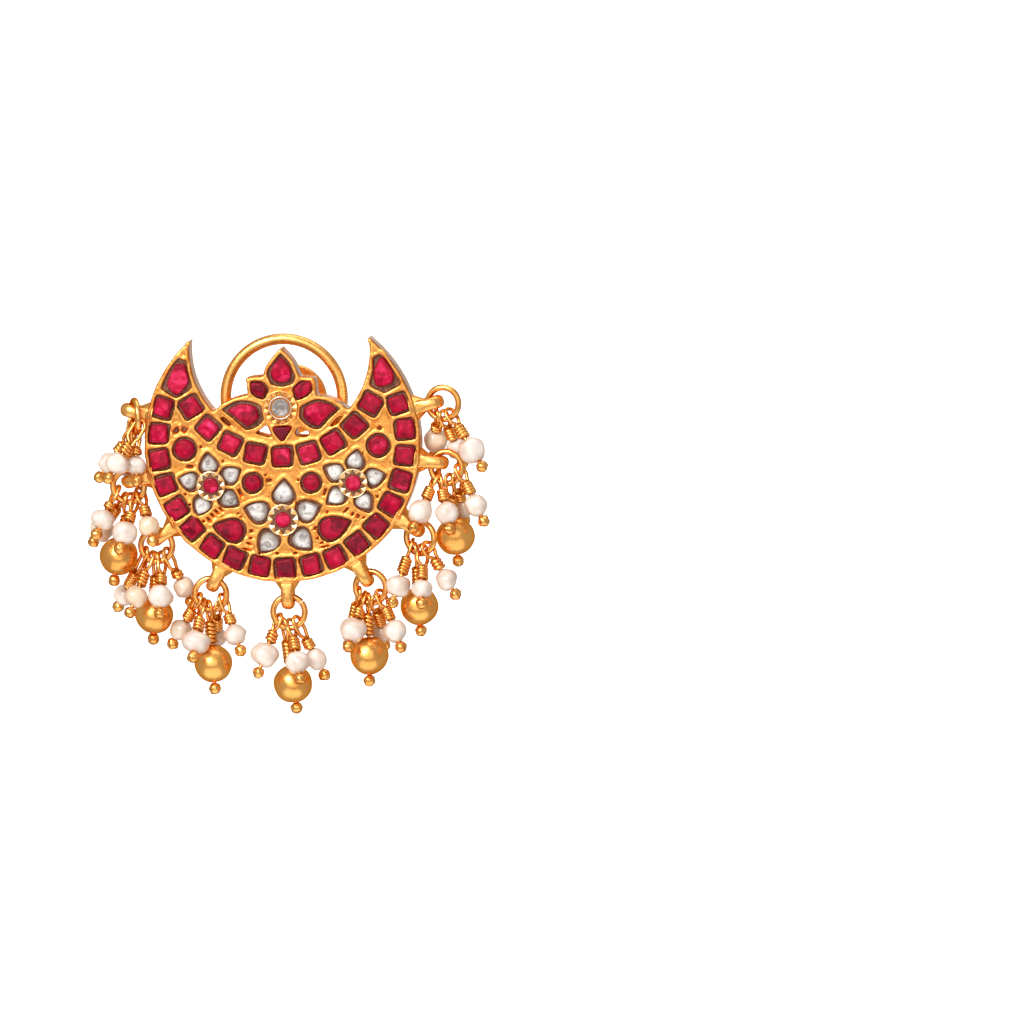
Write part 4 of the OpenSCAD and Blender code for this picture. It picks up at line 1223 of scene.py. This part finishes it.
# %% [markdown]
# ## Pearls and beads
# A sphere is only the start of a seed pearl. Real ones are a little lumpy, and
# both ends sink in where they are drilled. Noise moves the points, and the
# ends are drawn in around the hole. The gold beads get fewer, softer dents.

# %% Pearls and beads
HOLE_DIMPLE, DIMPLE_REACH = 0.14, 0.3
PEARL_LUMPS, GOLD_LUMPS, BEAD_WAVES, BEAD_SEEDS = 0.14, 0.05, 1.3, (3.1, 5.7)


def bead_mesh(pin, lumps, seed):
    bm = bmesh.new()
    bmesh.ops.create_uvsphere(bm, u_segments=36, v_segments=24, radius=1.0)
    lumpy(bm, lumps, BEAD_WAVES, seed)
    for vert in bm.verts:
        from_axis = math.hypot(vert.co.x, vert.co.y)
        if from_axis < DIMPLE_REACH:
            sink = (1 - from_axis / DIMPLE_REACH) ** 2 * HOLE_DIMPLE
            vert.co.z -= math.copysign(sink, vert.co.z)
    bmesh.ops.scale(bm, vec=(pin[5] / 2, pin[5] / 2, pin[6] / 2), verts=bm.verts)
    return to_mesh(bm)


for i, pins in enumerate(PINS):
    pearls, beads = bmesh.new(), bmesh.new()
    for k, pin in enumerate(pins):
        is_gold = pin[5] >= GOLD_FROM
        mesh = bead_mesh(pin, GOLD_LUMPS if is_gold else PEARL_LUMPS, seed_of(BEAD_SEEDS, i, k))
        pour(beads if is_gold else pearls, mesh, at_height(pin_place(i, pin), bead_middle(pin)), pin[7])
    add_piece(f"pearls_{i + 1}_drilled", pearls, [pearl], "setting", [f"pearls_{i + 1}"], 80)
    if beads.faces:
        add_piece(f"gold_bead_{i + 1}_brushed", beads, [bead_gold], "setting",
                  [f"gold_bead_{i + 1}"], 80)
    else:
        beads.free()

# %% [markdown]
# ## Behind the plate
# The post is soldered to the back and carries a nut with a broad disc. A round
# wire hinged in a barrel lies against the ear and keeps the heavy drop
# upright. These plain parts are turned: their section is spun about the axis.

# %% Post, barrel, nut and ear wire
HINGE_Y, HINGE_Z = 1.15, -7.0
POST_R, POST_LEN, NUT_Y = 0.45, 10.5, 6.7
POST_STEPS, BARREL_STEPS, NUT_STEPS = 32, 40, 96
# Sections to turn: radius and height
POST = [(0, -0.3), (POST_R, -0.3), (POST_R, POST_LEN - 0.5), (POST_R * 0.85, POST_LEN - 0.2),
        (POST_R * 0.45, POST_LEN), (0, POST_LEN)]
BARREL = [(0.5, -1.3), (0.85, -1.3), (0.95, -1.2), (0.95, 1.2), (0.85, 1.3), (0.5, 1.3)]
NUT = [(0.53, 0), (3.75, 0), (3.88, 0.12), (3.9, 0.4), (3.88, 0.68), (3.75, 0.8), (1.7, 0.8), (1.55, 0.9),
       (1.5, 1.05), (1.5, 2.4), (1.4, 2.56), (1.2, 2.6), (0.53, 2.6)]
SOLDER_SIZE, SOLDER_Y, SOLDER_ROUNDING = (2.4, 0.55, 1.8), 0.14, 0.12
LOOP_R, LOOP_X, LOOP_Z, LOOP_FOOT, LOOP_WIRE_R, LOOP_STEPS = 6.5, -0.12, 0.74, 25, 0.61, 96
LEG_X, HINGE_PIN_X, HINGE_PIN_R = 2.1, 0.4, 0.42


def backwards(y):
    """Turns +Z to +Y, out of the plate's back."""
    return Matrix.Translation((0, y, 0)) @ turned_by(-90, "X")


def at_hinge(x):
    return x, HINGE_Y, HINGE_Z


def solder_mesh():
    bm = bmesh.new()
    bmesh.ops.create_cube(bm, size=1.0)
    bmesh.ops.scale(bm, vec=SOLDER_SIZE, verts=bm.verts)
    bmesh.ops.translate(bm, vec=(0, SOLDER_Y, HINGE_Z), verts=bm.verts)
    soften(bm, bm.edges[:], SOLDER_ROUNDING, 3)
    return to_mesh(bm)


def ear_wire():
    """The round loop with its two legs, and an elbow and a hinge pin at the foot of each."""
    path = [at_hinge(-LEG_X)]
    for k in range(LOOP_STEPS + 1):
        a = math.radians(LOOP_FOOT + (360 - 2 * LOOP_FOOT) * k / LOOP_STEPS)
        path.append((LOOP_X - LOOP_R * math.sin(a), HINGE_Y, LOOP_Z - LOOP_R * math.cos(a)))
    bm = bmesh.new()
    pour(bm, wire_mesh(path + [at_hinge(LEG_X)], LOOP_WIRE_R, sides=6))
    for side in (-1, 1):
        elbow = bmesh.new()
        bmesh.ops.create_uvsphere(elbow, u_segments=24, v_segments=16, radius=LOOP_WIRE_R)
        pour(bm, to_mesh(elbow), Matrix.Translation(at_hinge(side * LEG_X)))
        pour(bm, wire_mesh([at_hinge(side * LEG_X), at_hinge(side * HINGE_PIN_X)], HINGE_PIN_R, sides=5))
    return bm


back_parts, nut = bmesh.new(), bmesh.new()
pour(back_parts, to_mesh(turned(POST, POST_STEPS)), backwards(0))
across = Matrix.Translation(at_hinge(0)) @ turned_by(90, "Y")
pour(back_parts, to_mesh(turned(BARREL, BARREL_STEPS)), across)
pour(back_parts, solder_mesh())
add_to_setting("post_and_barrel", back_parts, [plain_gold], 50)
pour(nut, to_mesh(turned(NUT, NUT_STEPS)), backwards(NUT_Y))
add_piece("ear_nut_turned", nut, [plain_gold], "nut", ["ear_nut"], 35)
add_piece("ear_wire_round", ear_wire(), [plain_gold], "ear_wire", ["ear_loop"], 50)

# %% [markdown]
# ## Studio
# Polished metal shows its surroundings, so the studio is part of the finish:
# a white sweep behind, a broad soft panel above the camera, a smaller one at
# the upper left for the highlights, one above for the rims, and a low one
# that throws light back up, as white paper under the drop does.

# %% Studio
FLOOR_Z, SWEEP_FRONT, SWEEP_BACK, SWEEP_TOP, SWEEP_BEND = -0.14, 0.4, 1.3, 0.5, 0.3
SWEEP_LEFT, SWEEP_RIGHT, SWEEP_STEPS = -0.32, 0.12, 12
MIDDLE_OF_DROP = Vector((0, 0, -0.008))
# Name, place, width, height and watts
PANELS = [("front_panel", (0.0, -1.4, 0.36), 1.7, 1.3, 6.2),
          ("key_panel", (-0.28, -0.6, 0.42), 0.4, 0.34, 4.4),
          ("top_panel", (0.1, 0.05, 0.6), 0.5, 0.5, 1.2),
          ("bounce_panel", (0.0, -0.22, -0.42), 0.9, 0.5, 1.2)]


def sweep():
    """Floor that bends up into a back wall."""
    bm = bmesh.new()
    profile = [(SWEEP_FRONT, FLOOR_Z)]
    profile += [(SWEEP_BACK - SWEEP_BEND * (1 - math.sin(a)), FLOOR_Z + SWEEP_BEND * (1 - math.cos(a)))
                for a in (math.pi / 2 * k / SWEEP_STEPS for k in range(SWEEP_STEPS + 1))]
    profile.append((SWEEP_BACK, SWEEP_TOP))
    verts = [bm.verts.new((SWEEP_LEFT, y, z)) for y, z in profile]
    edges = [bm.edges.new(pair) for pair in zip(verts, verts[1:])]
    pulled = bmesh.ops.extrude_edge_only(bm, edges=edges)["geom"]
    far_side = [g for g in pulled if isinstance(g, bmesh.types.BMVert)]
    bmesh.ops.translate(bm, vec=(SWEEP_RIGHT - SWEEP_LEFT, 0, 0), verts=far_side)
    for face in bm.faces:
        face.smooth = True
    floor = bpy.data.objects.new("sweep", to_mesh(bm, "sweep"))
    bpy.context.scene.collection.objects.link(floor)
    material, tree, shader = new_material("white_paper")
    feed(tree, shader, {"Base Color": (0.93, 0.93, 0.93, 1), "Roughness": 0.9, "Emission Color": WHITE,
                        "Emission Strength": 0.9})
    floor.data.materials.append(material)
    floor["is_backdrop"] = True


def panel(name, place, width, height, watts):
    data = bpy.data.lights.new(name, "AREA")
    data.shape, data.size, data.size_y, data.energy = "RECTANGLE", width, height, watts
    light = bpy.data.objects.new(name, data)
    bpy.context.scene.collection.objects.link(light)
    aim = (MIDDLE_OF_DROP - Vector(place)).to_track_quat("-Z", "Y")
    light.matrix_world = Matrix.Translation(place) @ aim.to_matrix().to_4x4()


sweep()
for setup in PANELS:
    panel(*setup)
world = bpy.data.worlds.new("studio")
world.use_nodes = True
feed(world.node_tree, world.node_tree.nodes["Background"], {"Color": (1.0, 0.92, 0.84, 1), "Strength": 0.5})
bpy.context.scene.world = world
bpy.context.scene.view_settings.view_transform = "Standard"

# %% [markdown]
# ## Compare the sizes
# Dressing must not change the part's size. The last cell prints the box of the
# CAD model and the box of the finished model, one after the other.

# %% Sizes and end
dressed_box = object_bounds()
boxes = {"cad": [list(corner) for corner in cad_box], "dressed": [list(corner) for corner in dressed_box]}
for label, (low, high) in boxes.items():
    print(label, [round((b - a) / MM, 2) for a, b in zip(low, high)], "mm")
